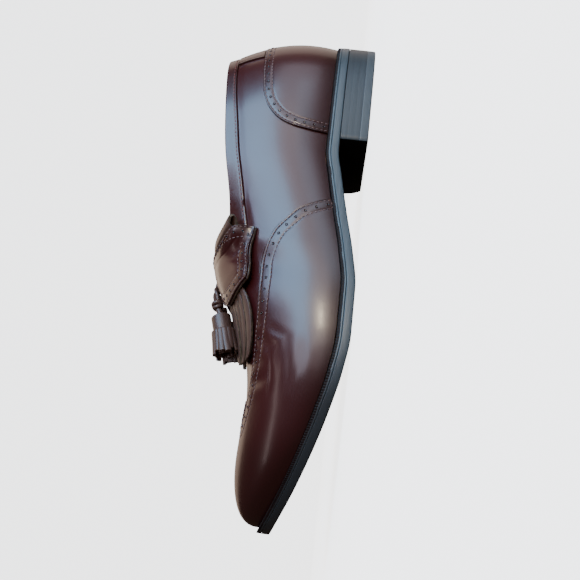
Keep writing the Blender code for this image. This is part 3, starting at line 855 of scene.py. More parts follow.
def polished_calf(name, wine=(0.05, 0.0075, 0.0085), dark=(0.022, 0.0045, 0.004), dull=0.29, coat=0.45):
    """Corrected calf, its brush-off running from wine to near black, with painted shade mixed in down at
    the welt, and polished to a high gloss.
    """
    finish = Finish(name)
    cloud = finish.ramp(finish.noise(16, 4), (0.35, (0.0,)), (0.75, (0.35,)))
    brushed_and_shaded = finish.node("Attribute", attribute_name="brush_off_and_shade").outputs["Fac"]
    total = finish.node("Math", operation="ADD", use_clamp=True)
    finish.link(cloud, total.inputs[0])
    finish.link(brushed_and_shaded, total.inputs[1])
    finish.colour(finish.mix(total.outputs[0], wine, dark))
    finish.roughness(finish.noise(70, 4), dull, dull + 0.07)
    pores = finish.node("TexVoronoi", feature="SMOOTH_F1")
    pores.inputs["Scale"].default_value = 1500
    finish.link(finish.place(), pores.inputs["Vector"])
    finish.bump((finish.noise(160, 3), 0.04, 0.3), (pores.outputs["Distance"], 0.08, 0.05))
    finish.set(Coat_Weight=coat, Coat_Roughness=0.19, IOR=1.5)
    return finish.material


def seam_dip(points):
    """How far the quarters sink towards the collar's seam."""
    turn = np.linspace(-COLLAR_EDGE[-1][0], COLLAR_EDGE[-1][0], SEAM_POINTS)
    far = nearest(points, last_surface(turn, collar_foot(np.abs(turn)))) / SEAM_DIP_WIDTH
    return SEAM_DIP * np.exp(-far * far)


def upper_shape(u, v):
    turn = 2 * v
    base = last_surface(turn, u)
    return skin(turn, u, -CREASE_UNDER_CAP * crease_depth(base) - seam_dip(base))


def collar_roll_shape(u, v):
    turn = THROAT_TURN * (2 * v - 1)
    normal = skin_normal(turn, np.ones_like(turn))
    top = last_surface(turn, np.ones_like(turn))
    angle = math.pi * u[:, None]
    up = np.array([0.0, 0.0, 1.0])
    half = UPPER_WALL / 2
    return top + normal * (half * (np.cos(angle) - 1)) + up * half * np.sin(angle)


upper = new_sheet("upper", UPPER_COLUMNS, UPPER_ROWS, upper_shape)
collar_roll = new_sheet("roll", COLLAR_ROLL_STEPS, UPPER_ROWS // 2, collar_roll_shape)
upper = join(upper, collar_roll)
merge(upper)
shade(upper, 60)
brush_off_and_shade(upper)
calf = polished_calf("polished_calf")
take(upper, calf, "calf", "upper")


# Lining: tan leather glued inside the upper, from the insole to the roll of the collar.
# It is seen through the collar and from behind the tongue-like loop.
LINING_TOP = 0.995


def lining_shape(u, v):
    return skin(2 * v, (1 - u) * LINING_TOP, -UPPER_WALL)


lining = new_sheet("lining", UPPER_COLUMNS // 2, UPPER_ROWS // 2, lining_shape)
shade(lining, 60)
take(lining, sock_leather("lining_leather", (0.3, 0.165, 0.085), (0.2, 0.1, 0.05)), "insole_leather")


# Wing cap: the toe cap of calf, its edge swept back along both sides and up to a peak on the vamp.
# It lies on the upper, and its border is a band of punched holes between two rows of stitches.
OVERLAY_HEIGHT = 1.35
EDGE_ROUND = 0.35
EDGE_LOW = 0.55
EDGE_TUCK = -0.1
CREASE_EASE = 2.0
SHOE_CORE = Vector((0.0, 0.0, 0.03))
LINE_POINTS = 3000
LINE_PITCH = 0.1
BURNISH_STEP = 8
BORDER_CROWDING = 1.3
WING_EDGE = (
    # rise turn, from the welt to the ridge
    (0.0, 0.4292),
    (0.1, 0.434),
    (0.195, 0.44),
    (0.29, 0.4475),
    (0.362, 0.4592),
    (0.413, 0.4692),
    (0.445, 0.4783),
    (0.463, 0.4942),
    (0.455, 0.5075),
    (0.443, 0.5233),
    (0.44, 0.5392),
    (0.448, 0.5542),
    (0.463, 0.5692),
    (0.487, 0.5875),
    (0.517, 0.6058),
    (0.545, 0.6258),
    (0.573, 0.645),
    (0.603, 0.6625),
    (0.642, 0.686),
    (0.75, 0.735),
    (0.82, 0.757),
    (0.9, 0.752),
    (1.0, 0.729),
)
WING_FAN = 1.15
WING_ROWS = 420
WING_STEPS = (0.28, 64, 26)
WING_BAND = (1.3, 4.0, 6.8)
GROOVE_DEPTH = 0.16
GROOVE_WIDTH = 0.45
BAND_SWELL = 0.06


def border_height(far, band, height=OVERLAY_HEIGHT):
    """Height of a stitched border: rounded at the edge, drawn down by both seams, full between them."""
    first, _, second = band
    rounded = np.sqrt(np.clip(1 - (1 - np.clip(far / EDGE_ROUND, 0, 1)) ** 2, 0, 1))
    seams = sum(np.exp(-(((far - row) / GROOVE_WIDTH) ** 2)) for row in {first, second})
    full = np.clip((far - first) / max(second - first, GROOVE_WIDTH), 0, 1)
    edge = height * (EDGE_LOW + (1 - EDGE_LOW) * rounded)
    return edge - GROOVE_DEPTH * seams + BAND_SWELL * np.sin(math.pi * full)


def border_share(border, near_steps, far_steps):
    """Shares of the way from an edge inwards, close together along the border."""
    near = border * np.linspace(0, 1, near_steps) ** BORDER_CROWDING
    return np.concatenate([[0.0], near, border + (1 - border) * np.linspace(0, 1, far_steps + 1)[1:]])


def even_line(turn, rise, pitch):
    """Turns and rises along a line at an even pitch in millimetres."""
    run = run_along(last_surface(turn, rise))
    at = np.linspace(0, run[-1], max(2, int(round(run[-1] / pitch)) + 1))
    return np.interp(at, run, turn), np.interp(at, run, rise)


def both_sides(turn, rise):
    """Points along a line on the outer side and its copy on the inner side."""
    return np.concatenate([last_surface(turn, rise), last_surface(2 - turn, rise)])


def face_out(piece):
    """Turns a sheet over if its faces look into the shoe."""
    total = 0.0
    for face in piece.data.polygons:
        away = face.center - SHOE_CORE
        away.x = 0.0
        total += face.area * face.normal.dot(away)
    if total < 0:
        edit(piece, (bpy.ops.mesh.flip_normals, {}))


def overlay(name, edge, end, share, rows, band, height=OVERLAY_HEIGHT):
    """A panel on both sides of the upper, from its edge line to the line where it ends."""
    line = last_surface(*edge)
    sides = []
    for outer in (True, False):

        def shape(u, v):
            k = step_of(u, len(share) - 1)
            i = step_of(v, len(edge[0]) - 1)
            turn, rise = (start[i] + (stop[i] - start[i]) * share[k] for start, stop in zip(edge, end))
            base = last_surface(turn, rise)
            far = nearest(base, line)
            lift = np.where(k == 0, EDGE_TUCK, border_height(far, band, height))
            lift = lift - crease_depth(base) * between(0, CREASE_EASE, far)
            return skin(turn if outer else 2 - turn, rise, lift)

        side = new_sheet(name, len(share) - 1, rows, shape)
        face_out(side)
        sides.append(side)
    panel = join(*sides)
    merge(panel)
    shade(panel, 60)
    return panel


wing_edge = even_line(*drawn([(turn, rise) for rise, turn in WING_EDGE], LINE_POINTS), LINE_PITCH)
wing_end = (np.ones_like(wing_edge[0]), np.linspace(0, 1, len(wing_edge[0])) ** WING_FAN)
wing_cap = overlay("wing_cap", wing_edge, wing_end, border_share(*WING_STEPS), WING_ROWS, WING_BAND)
brush_off_and_shade(wing_cap, both_sides(*wing_edge)[::BURNISH_STEP])
take(wing_cap, calf, "calf", "wing_cap")


# Heel counter: a calf panel over the back of the heel, sewn on like the wing cap.
# Its top edge dips to the welt at both sides and has a narrower punched border.
COUNTER_EDGE = (
    # turn rise, from the back of the heel to the welt
    (0.0, 0.668),
    (0.1, 0.667),
    (0.2, 0.664),
    (0.2542, 0.65),
    (0.2842, 0.615),
    (0.2967, 0.578),
    (0.3083, 0.527),
    (0.3175, 0.463),
    (0.3242, 0.383),
    (0.3283, 0.302),
    (0.3325, 0.12),
    (0.3335, 0.0),
)
COUNTER_BAND = (1.2, 3.4, 5.8)
COUNTER_ROWS = 300
COUNTER_STEPS = (0.3, 28, 16)

counter_edge = even_line(*drawn(COUNTER_EDGE, LINE_POINTS), LINE_PITCH)
counter_end = (counter_edge[0], 0 * counter_edge[1])
counter_share = border_share(*COUNTER_STEPS)
heel_counter = overlay("heel_counter", counter_edge, counter_end, counter_share, COUNTER_ROWS, COUNTER_BAND)
brush_off_and_shade(heel_counter, both_sides(*counter_edge)[::BURNISH_STEP])
take(heel_counter, calf, "calf", "heel_counter")


# Heel tab: a small calf patch over the back seam, between the counter and the collar band.
# It is skived thin, and a pressed seam line runs along its two front edges.
TAB_TURN = 0.165
TAB_GAP = 0.006
TAB_HEIGHT = 1.1
TAB_BAND = (1.2, 1.2, 1.2)
TAB_ROWS = 24
TAB_POINTS = 200
TAB_STEPS = (0.2, 12, 12)
counter_top = smooth_through(*np.array(COUNTER_EDGE[:-1]).T)
tab_rise = np.linspace(counter_top(TAB_TURN) + TAB_GAP, collar_foot(TAB_TURN) - TAB_GAP, TAB_POINTS)
tab_turn = np.full(TAB_POINTS, TAB_TURN)
tab_share = (tab_rise - tab_rise[0]) / (tab_rise[-1] - tab_rise[0])
tab_back = counter_top(0.0) + TAB_GAP + (collar_foot(0.0) - counter_top(0.0) - 2 * TAB_GAP) * tab_share
tab_edge, tab_end = (tab_turn, tab_rise), (0 * tab_turn, tab_back)
heel_tab = overlay("heel_tab", tab_edge, tab_end, border_share(*TAB_STEPS), TAB_ROWS, TAB_BAND, TAB_HEIGHT)
brush_off_and_shade(heel_tab, both_sides(*tab_edge))
take(heel_tab, calf, "calf", "heel_tab")


# Collar band: a strip of calf sewn round the mouth of the shoe and turned over its edge.
# Its lower seam is sewn with reddish thread, and its ends go under the strap.
COLLAR_HEIGHT = 1.75
COLLAR_FLARE = 0.95
COLLAR_INSIDE = -2.5
COLLAR_SEAM = 1.5
COLLAR_ROWS = 360
COLLAR_END = 0.5
COLLAR_FACE_STEPS = 16
COLLAR_TURN_STEPS = 12
COLLAR_INNER_RISE = 0.93
COLLAR_EDGE_LOW = 0.3
COLLAR_THINNING = 0.03
COLLAR_CROWN = 0.6
COLLAR_POINTS = 2000


def collar_shape(u, v):
    k = step_of(u, COLLAR_FACE_STEPS + COLLAR_TURN_STEPS + 2)
    turn = COLLAR_END * (2 * v - 1)
    foot = collar_foot(np.abs(turn))
    climb = np.clip((k - 1) / COLLAR_FACE_STEPS, 0, 1)
    rise = foot + (1 - foot) * climb
    far = np.linalg.norm(last_surface(turn, rise) - last_surface(turn, foot), axis=-1)
    thin = 1 - between(COLLAR_END - COLLAR_THINNING, COLLAR_END, np.abs(turn))
    rounded = np.sqrt(np.clip(far / EDGE_ROUND, COLLAR_EDGE_LOW, 1))
    face = COLLAR_HEIGHT * rounded + COLLAR_FLARE * (climb - 1)
    face -= GROOVE_DEPTH * np.exp(-(((far - COLLAR_SEAM) / GROOVE_WIDTH) ** 2))
    over = np.clip((k - 1 - COLLAR_FACE_STEPS) / COLLAR_TURN_STEPS, 0, 1) * math.pi
    middle, half = (COLLAR_HEIGHT + COLLAR_INSIDE) / 2, (COLLAR_HEIGHT - COLLAR_INSIDE) / 2
    offset = np.where(over > 0, middle + half * np.cos(over), face) * thin
    offset = np.where(k == 0, EDGE_TUCK, offset)
    rise = np.where(k > COLLAR_FACE_STEPS + COLLAR_TURN_STEPS + 1, COLLAR_INNER_RISE, rise)
    points = skin(turn, rise, offset)
    points[:, 2] += half * np.sin(over) * thin * COLLAR_CROWN
    return points


collar_band = new_sheet("collar_band", COLLAR_FACE_STEPS + COLLAR_TURN_STEPS + 2, COLLAR_ROWS, collar_shape)
shade(collar_band, 60)
collar_turn = np.linspace(-COLLAR_END, COLLAR_END, COLLAR_POINTS)
collar_line = last_surface(collar_turn, collar_foot(np.abs(collar_turn)))
brush_off_and_shade(collar_band, collar_line[::BURNISH_STEP])
take(collar_band, calf, "calf", "collar_band")


# Kiltie: a flap of calf folded to an open loop behind the strap, and slit into strips in front.
# The strips run out from under the strap over the vamp, a little curled, their cut edges left raw.
fringe_calf = polished_calf("fringe_calf", (0.085, 0.045, 0.034), (0.03, 0.016, 0.012), 0.36, 0.1)
KILTIE_THICKNESS = 1.5
KILTIE_EDGE_ROUND = 0.3
KILTIE_LOOP_RISE = 0.775
KILTIE_LOOP_SPREAD = 0.75
KILTIE_COLLAR_LIFT = 1.9
KILTIE_LOOP = (
    # distance behind the strap's rear edge, height over the upper, share of the lift over the collar
    (-4.0, 1.15, 1.0),
    (0.0, 1.3, 1.0),
    (4.5, 2.6, 0.9),
    (8.6, 4.6, 0.5),
    (10.2, 7.4, 0.0),
    (8.4, 9.9, 0.0),
    (5.0, 9.4, 0.0),
    (2.2, 6.4, 0.0),
    (-2.5, 2.7, 0.0),
)
KILTIE_FLAP = (
    # turn on the ridge, rise of the side edge, height over the upper
    (0.546, 0.7, 2.5),
    (0.556, 0.57, 2.8),
    (0.566, 0.53, 3.0),
    (0.578, 0.515, 3.0),
    (0.594, 0.513, 3.0),
    (0.612, 0.52, 3.0),
    (0.632, 0.537, 2.9),
    (0.648, 0.557, 2.9),
    (0.66, 0.58, 2.9),
)
KILTIE_FRINGE = len(KILTIE_LOOP) + 0.4
KILTIE_CORNER_ROW = 3
KILTIE_STRIPS = 17
KILTIE_SLIT = 0.2
KILTIE_CORNER = 0.02
STRIP_LIFT = 0.45
STRIP_CURL = 0.9
STRIP_CURL_STEP = 2.4
STRIP_CUP = 0.3
STRIP_CUP_SHIFT = 0.3
STRIP_BEND_FROM = 0.35
STRIP_OVERLAP = 0.02
KILTIE_GRID = (60, 90)
STRIP_GRID = (6, 36)
STRAP_REAR = (
    # rise turn
    (0.49, 0.4765),
    (0.68, 0.479),
    (0.74, 0.4825),
    (0.78, 0.49),
    (0.82, 0.502),
    (0.86, 0.515),
    (0.9, 0.5235),
    (0.94, 0.5287),
    (1.0, 0.5335),
)
strap_rear = smooth_through(*np.array(STRAP_REAR).T)


def raw_edge(name):
    """The cut edge of calf: olive tan fibres with a little dye run in."""
    finish = Finish(name)
    fibres = finish.noise(380, 3)
    finish.colour(finish.ramp(fibres, (0.3, (0.05, 0.038, 0.026)), (0.7, (0.17, 0.135, 0.095))))
    finish.roughness(finish.noise(200), 0.4, 0.6)
    finish.bump((fibres, 0.3, 0.1))
    return finish.material


cut_edge = raw_edge("cut_edge")


def kiltie_middle(across, row):
    """The middle of the flap: across is 1 at its outer and -1 at its inner edge, row runs along it."""
    reach = np.abs(across)
    outer = across >= 0
    loop_rise = 1 - (1 - KILTIE_LOOP_RISE) * reach**KILTIE_LOOP_SPREAD
    loop_turn = np.where(outer, strap_rear(loop_rise), 2 - strap_rear(loop_rise))
    base = last_surface(loop_turn, loop_rise)
    up = skin(loop_turn, loop_rise, 1.0) - base
    over_collar = KILTIE_COLLAR_LIFT * reach**3
    rows = []
    for behind, height, lifted in KILTIE_LOOP:
        rows.append(base + np.array([-behind, 0.0, 0.0]) + up * (height + lifted * over_collar)[:, None])
    for number, (turn, edge, height) in enumerate(KILTIE_FLAP):
        out = max(0.0, (number - KILTIE_CORNER_ROW) / (len(KILTIE_FLAP) - 1 - KILTIE_CORNER_ROW))
        here = turn - KILTIE_CORNER * out * reach**4
        here = np.where(outer, here, 2 - here)
        rows.append(skin(here, 1 - (1 - edge) * reach, height))
    return smooth_through(np.arange(len(rows)), np.array(rows))(row)


def kiltie_patch(name, first, last, start, end, columns, rows, curl=None):
    """Part of the flap between two places across and two rows, with its thickness and soft edges."""
    across = np.linspace(first, last, columns + 1)
    row = np.linspace(start, end, rows + 1)
    middle = kiltie_middle(across, row)
    if curl is not None:
        away = unit(np.cross(np.gradient(middle, axis=0), np.gradient(middle, axis=1)))
        bend = between(STRIP_BEND_FROM, 1.0, (row - start) / (end - start))[:, None, None]
        cup = STRIP_CUP * (np.linspace(-1, 1, columns + 1)[None, :, None] ** 2 - STRIP_CUP_SHIFT)
        middle = middle - away * (bend * curl - cup)

    def shape(u, v):
        return middle[step_of(v, rows), step_of(u, columns)]

    patch = new_sheet(name, columns, rows, shape)
    patch.data.materials.append(fringe_calf)
    patch.data.materials.append(cut_edge)
    modify(patch, "SOLIDIFY", thickness=KILTIE_THICKNESS * MM, offset=0.0, material_offset_rim=1)
    modify(patch, "BEVEL", width=KILTIE_EDGE_ROUND * MM, segments=2, limit_method="ANGLE")
    return patch


kiltie = kiltie_patch("kiltie", 1.0, -1.0, 0.0, KILTIE_FRINGE, *KILTIE_GRID)
strip_lines = np.linspace(1, -1, KILTIE_STRIPS + 1)
for strip_number in range(KILTIE_STRIPS):
    slit = KILTIE_SLIT / KILTIE_STRIPS
    strip = kiltie_patch(
        "strip",
        strip_lines[strip_number] - slit * (strip_number > 0),
        strip_lines[strip_number + 1] + slit * (strip_number < KILTIE_STRIPS - 1),
        KILTIE_FRINGE - STRIP_OVERLAP,
        len(KILTIE_LOOP) + len(KILTIE_FLAP) - 1,
        *STRIP_GRID,
        STRIP_LIFT + STRIP_CURL * math.sin(STRIP_CURL_STEP * strip_number),
    )
    kiltie = join(kiltie, strip)
shade(kiltie, 50)
brush_off_and_shade(kiltie)
take(kiltie, fringe_calf, "calf", "kiltie")


# Strap: a saddle strap over the instep, two plies of calf sewn together, its ears sewn to the quarters.
# A punched border runs along its edges, and the ply below stands out a little as a lighter edge.
STRAP_SEAT = 0.4
STRAP_LIFT = 3.9
STRAP_PLY = 1.3
STRAP_FLAT_TURN = 0.06
STRAP_FLAT_RISE = 0.13
STRAP_ARCH = 3.4
STRAP_ARCH_RISES = (0.6, 0.78)
STRAP_FRONT = (
    # rise turn
    (0.48, 0.543),
    (0.535, 0.553),
    (0.598, 0.564),
    (0.672, 0.575),
    (0.74, 0.5805),
    (0.8, 0.5815),
    (0.9, 0.5785),
    (1.0, 0.5765),
)
STRAP_EAR = (
    # share of the strap's width from its rear edge, rise
    (0.0, 0.61),
    (0.25, 0.577),
    (0.5, 0.525),
    (0.75, 0.49),
    (0.9, 0.488),
    (1.0, 0.498),
)
STRAP_COLUMNS = 60
STRAP_ROWS = 200
STRAP_BAND = (1.5, 4.0, 6.6)
STRAP_PLY_INSET = 0.45
STRAP_EDGE_ROUND = 0.35
STRAP_CROWN = 0.25
STRAP_CROWN_REACH = 12.0
STRAP_POINTS = 50
strap_front = smooth_through(*np.array(STRAP_FRONT).T)
strap_ear = smooth_through(*np.array(STRAP_EAR).T)


def strap_point(share, span, height):
    """A point of the strap: share from rear to front, span from 1 at the outer to -1 at the inner ear."""
    foot = strap_ear(share)
    rise = foot + (1 - foot) * (1 - np.abs(span))
    turn = strap_rear(rise) * (1 - share) + strap_front(rise) * share
    flat = 1 - between(0, STRAP_FLAT_TURN, turn - STRAP_REAR[0][1])
    flat = flat * (1 - between(0, STRAP_FLAT_RISE, rise - STRAP_EAR[0][1]))
    arch = STRAP_ARCH * (1 - share) * between(*STRAP_ARCH_RISES, rise)
    seat = STRAP_SEAT + STRAP_LIFT * (1 - flat) + arch
    return skin(np.where(span >= 0, turn, 2 - turn), rise, seat + height)


def strap_edge(inset, count=400):
    """Shares and spans along the strap's whole edge, moved in by inset millimetres."""
    way, halfway = np.linspace(0, 1, STRAP_POINTS), np.full(STRAP_POINTS, 0.5)
    wide = inset / run_along(strap_point(way, halfway, 0))[-1]
    far = inset / run_along(strap_point(halfway, way, 0))[-1]
    side = np.linspace(0, 1 - far, count)
    cross = np.linspace(wide, 1 - wide, count // 2)
    share = np.concatenate([np.full(count, wide), cross[1:-1], np.full(count, 1 - wide)])
    span = np.concatenate([side, np.full(len(cross) - 2, 1 - far), side[::-1]])
    return share, span


def strap_ply(name, inset, low, relief):
    """One ply of the strap, inset from the edge, its underside at low."""
    share, span = strap_edge(inset)
    wide, far = share.min(), span.max()
    edge_share, edge_span = strap_edge(0.0)
    border = np.concatenate([strap_point(edge_share, side * edge_span, 0.0) for side in (1, -1)])

    def shape(u, v):
        across, down = wide + (1 - 2 * wide) * u, far * (2 * v - 1)
        height = np.full(u.shape, low + STRAP_PLY)
        if relief:
            reach = nearest(strap_point(across, down, 0.0), border)
            crown = STRAP_CROWN * between(STRAP_BAND[2], STRAP_CROWN_REACH, reach)
            height = height + border_height(reach, STRAP_BAND, 0.0) + crown
        return strap_point(across, down, height)

    ply = new_sheet(name, STRAP_COLUMNS, STRAP_ROWS, shape)
    face_out(ply)
    ply.data.materials.append(calf)
    ply.data.materials.append(cut_edge)
    modify(ply, "SOLIDIFY", thickness=STRAP_PLY * MM, offset=-1.0, material_offset_rim=int(not relief))
    modify(ply, "BEVEL", width=STRAP_EDGE_ROUND * MM, segments=2, limit_method="ANGLE")
    return ply


strap = join(strap_ply("strap", STRAP_PLY_INSET, STRAP_PLY, True), strap_ply("ply", 0.0, 0.0, False))
shade(strap, 50)
strap_line = strap_point(*strap_edge(0.0), 2 * STRAP_PLY)
brush_off_and_shade(strap, strap_line[:: BURNISH_STEP // 2])
take(strap, calf, "calf", "strap")


# Tassels: each a thong drawn through the strap, tied in a knot, and a strip of calf rolled to a head.
# The lower part of the roll is slit into a skirt, and a narrow band holds it together.
TASSEL_ROUTES = {
    # points from the strap's front edge to the end of the skirt
    "tassel_outer": (
        (169.5, 0.0, 81.75),
        (178.8, 4.0, 79.8),
        (186.0, 6.2, 76.1),
        (210.0, 12.0, 68.2),
    ),
    "tassel_inner": (
        (169.5, -8.0, 81.85),
        (178.8, -12.0, 79.8),
        (186.0, -14.2, 76.0),
        (209.5, -20.5, 67.75),
    ),
}
THONG_ROOTS = (
    # share of the strap's width and height over its underside where the thong comes through it
    (0.4, 1.0),
    (0.66, 3.7),
)
THONG_SPANS = {"tassel_outer": 0.045, "tassel_inner": -0.065}
LINE_STEP = 0.01
THONG_BOW = 0.8
THONG_RADIUS = 1.15
THONG_TWIST = 0.85
THONG_TURNS = 1.0
KNOT_WRAPS = (
    # place, lean, radius, half thickness, half height
    (0.232, 0.5, 2.5, 1.05, 1.3),
    (0.272, -0.8, 2.35, 1.0, 1.2),
    (0.252, 1.9, 2.75, 0.7, 0.9),
)
NECK_SPAN = (0.2, 0.45)
NECK_RADIUS = 1.8
HEAD_SPAN = (0.43, 0.67)
HEAD_RADIUS = 6.0
HEAD_ROLL = 0.5
HEAD_ROLL_WAY = (0.1, 0.3)
HEAD_PROFILE = np.array(
    [
        # way, share of the head, radius
        (0.0, 0.0, 0.0),
        (0.1, 0.0, 3.0),
        (0.2, 0.0, 5.4),
        (0.26, 0.025, HEAD_RADIUS),
        (0.6, 0.5, 6.1),
        (1.0, 1.0, 5.8),
    ]
)
BAND_PLACE = 0.66
BAND_WIDTH = 0.032
BAND_RADIUS = 6.3
SKIRT_LAYERS = (
    # strips, radius at the band, flare to the end
    (14, 5.7, 0.9),
    (10, 4.1, 0.9),
    (6, 2.4, 0.8),
)
SKIRT_END = 0.97
SKIRT_FILL = 0.93
SKIRT_THICKNESS = 1.1
SKIRT_STRAY_STEP = 2.2
SKIRT_STRAY = 0.35
SKIRT_TUCK = 0.02
SKIRT_UNEVEN = 0.025
SKIRT_TWIST = 0.1
SKIRT_BOW = 0.3
SKIRT_FLARE_POWER = 1.5
SKIRT_EDGE_ROUND = 0.25
BAND_FULLNESS = 0.4
STRAND_GRID = (10, 60)
WRAP_GRID = (12, 32)
HEAD_GRID = (48, 40)
BAND_GRID = (40, 8)
NECK_GRID = (16, 12)
SKIRT_GRID = (5, 14)


def tassel_line(route):
    """Centre, side, over and ahead of a line, as functions of the share of its length."""
    route = np.array(route)
    run = run_along(route)
    centre = smooth_through(run / run[-1], route)

    def at(share):
        share = np.asarray(share, float)
        further, nearer = (np.clip(share + step, 0, 1) for step in (LINE_STEP, -LINE_STEP))
        ahead = unit(centre(further) - centre(nearer))
        side = unit(np.cross(ahead, np.array([0.0, 0.0, 1.0])))
        return centre(share), side, np.cross(side, ahead), ahead

    return at


def round_about(side, over, angle):
    return side * np.cos(angle)[:, None] + over * np.sin(angle)[:, None]


def ring_sheet(name, line, columns, rows, section):
    """A closed tube round the tassel's line; section(u, v) gives share, radius and angle."""

    def shape(u, v):
        share, radius, angle = section(u, v)
        centre, side, over, _ = line(share)
        return centre + radius[:, None] * round_about(side, over, angle)

    tube = new_sheet(name, columns, rows, shape)
    weld(tube, fill=True)
    return tube


def thong_strand(line, start):
    """One strand of the twisted thong."""

    def shape(u, v):
        centre, side, over, _ = line(v)
        middle = centre + THONG_TWIST * round_about(side, over, start + 2 * math.pi * THONG_TURNS * v)
        return middle + THONG_RADIUS * round_about(side, over, 2 * math.pi * u)

    strand = new_sheet("strand", *STRAND_GRID, shape)
    weld(strand, fill=True)
    return strand


def knot_wrap(line, place, lean, radius, thick, tall):
    """One wrap of the knot: a flat ring of the thong, leaning a little."""

    def shape(u, v):
        around_knot, around_cord = 2 * math.pi * v, 2 * math.pi * u
        centre, side, over, ahead = line(np.full(u.shape, place))
        reach = radius + thick * np.cos(around_cord)
        along_line = tall * np.sin(around_cord) + lean * np.cos(around_knot)
        return centre + round_about(side, over, around_knot) * reach[:, None] + ahead * along_line[:, None]

    wrap = new_sheet("wrap", *WRAP_GRID, shape)
    weld(wrap)
    return wrap


def neck_section(u, v):
    return NECK_SPAN[0] + (NECK_SPAN[1] - NECK_SPAN[0]) * v, np.full(u.shape, NECK_RADIUS), 2 * math.pi * u


def head_section(u, v):
    """The rolled head: flat top, straight side with the step of the roll's outer end."""
    share, radius = smooth_through(HEAD_PROFILE[:, 0], HEAD_PROFILE[:, 1:])(v).T
    roll = 1 - HEAD_ROLL / HEAD_RADIUS * np.mod(u, 1.0) * between(*HEAD_ROLL_WAY, v)
    return HEAD_SPAN[0] + (HEAD_SPAN[1] - HEAD_SPAN[0]) * share, radius * roll, 2 * math.pi * u


def band_section(u, v):
    low = HEAD_RADIUS - HEAD_ROLL
    radius = low + (BAND_RADIUS - low) * np.sin(math.pi * v) ** BAND_FULLNESS
    return BAND_PLACE + BAND_WIDTH * (v - 0.5), radius, 2 * math.pi * u


def skirt_strip(line, length, number, count, radius, flare):
    """One slit strip of the skirt, bowed and of its own length."""
    first = 2 * math.pi * number / count
    width = 2 * math.pi / count * SKIRT_FILL
    stray = math.sin(SKIRT_STRAY_STEP * number + radius)

    def shape(u, v):
        start = HEAD_SPAN[1] - SKIRT_TUCK
        share = start + (SKIRT_END - start + SKIRT_UNEVEN * stray) * v
        angle = first + width * u + SKIRT_TWIST * stray * v * v
        reach = radius + flare * v**SKIRT_FLARE_POWER + SKIRT_STRAY * stray * v * v
        reach = reach + SKIRT_BOW * np.sin(math.pi * u)
        centre, side, over, ahead = line(np.minimum(share, 1.0))
        past = np.maximum(share - 1.0, 0) * length
        return centre + ahead * past[:, None] + reach[:, None] * round_about(side, over, angle)

    strip = new_sheet("skirt", *SKIRT_GRID, shape)
    modify(strip, "SOLIDIFY", thickness=SKIRT_THICKNESS * MM, offset=-1.0)
    modify(strip, "BEVEL", width=SKIRT_EDGE_ROUND * MM, segments=2, limit_method="ANGLE")
    return strip


for tassel_name, tassel_route in TASSEL_ROUTES.items():
    line = tassel_line(tassel_route)
    tassel_length = run_along(np.array(tassel_route))[-1]
    root_share, root_height = np.array(THONG_ROOTS).T
    roots = strap_point(root_share, np.full(len(THONG_ROOTS), THONG_SPANS[tassel_name]), root_height)
    bow = np.array(tassel_route[0]) + np.array([0.0, 0.0, THONG_BOW])
    thong_line = tassel_line((*roots, bow, tassel_route[1]))
    tassel = ring_sheet(tassel_name, line, *HEAD_GRID, head_section)
    parts = [ring_sheet("band", line, *BAND_GRID, band_section)]
    parts.append(ring_sheet("neck", line, *NECK_GRID, neck_section))
    parts += [thong_strand(thong_line, start) for start in (0.0, math.pi)]
    parts += [knot_wrap(line, *wrap) for wrap in KNOT_WRAPS]
    for strips, layer_radius, layer_flare in SKIRT_LAYERS:
        for number in range(strips):
            parts.append(skirt_strip(line, tassel_length, number, strips, layer_radius, layer_flare))
    tassel = join(tassel, *parts)
    shade(tassel, 45)
    brush_off_and_shade(tassel)
    take(tassel, fringe_calf, "calf", tassel_name)


# Stitching: rows of waxed thread along cap, counter, strap and collar band, each stitch sunk at its ends.
# One stitch is shaped and then repeated along the rows as one mesh for each kind of thread.
STITCH_LENGTH = 1.9
STITCH_WIDTH = 0.62
STITCH_HEIGHT = 0.5
STITCH_PITCH = 2.5
STITCH_SINK = 0.1
ROW_PITCH = 0.8
THREAD_SHADE = 0.6
COLLAR_ROW_ENDS = (0.001, COLLAR_END - 0.015)
COLLAR_ROW_POINTS = 800
COLLAR_ROW_FLARE = 0.8


def rowed(points, up, pitch):
    """Frames at an even pitch along a line of points: place, along, aside and up."""
    run = run_along(points)
    count = max(1, int(run[-1] / pitch))
    at = (np.arange(count) + 0.5) * run[-1] / count
    place = np.stack([np.interp(at, run, points[:, k]) for k in range(3)], -1)
    up = unit(np.stack([np.interp(at, run, up[:, k]) for k in range(3)], -1))
    ahead = np.gradient(points, run, axis=0)
    ahead = unit(np.stack([np.interp(at, run, ahead[:, k]) for k in range(3)], -1))
    aside = unit(np.cross(up, ahead))
    return place, np.cross(aside, up), aside, up


def repeat(name, pattern, frames):
    """Copies of a pattern's mesh at each frame, as one mesh."""
    place, ahead, aside, up = (np.concatenate(part) for part in zip(*frames))
    flat = points_of(pattern)
    points = place[:, None] + flat[:, :1] * ahead[:, None]
    points = points + flat[:, 1:2] * aside[:, None] + flat[:, 2:] * up[:, None]
    faces = [tuple(face.vertices) for face in pattern.data.polygons]
    count = len(flat)
    mesh = bpy.data.meshes.new(name)
    mesh.from_pydata(
        ((points.reshape(-1, 3) - FRAME_SHIFT) * MM).tolist(),
        [],
        [tuple(k * count + i for i in face) for k in range(len(place)) for face in faces],
    )
    piece = bpy.data.objects.new(name, mesh)
    bpy.context.scene.collection.objects.link(piece)
    bpy.data.objects.remove(pattern, do_unlink=True)
    shade(piece, 60)
    return piece


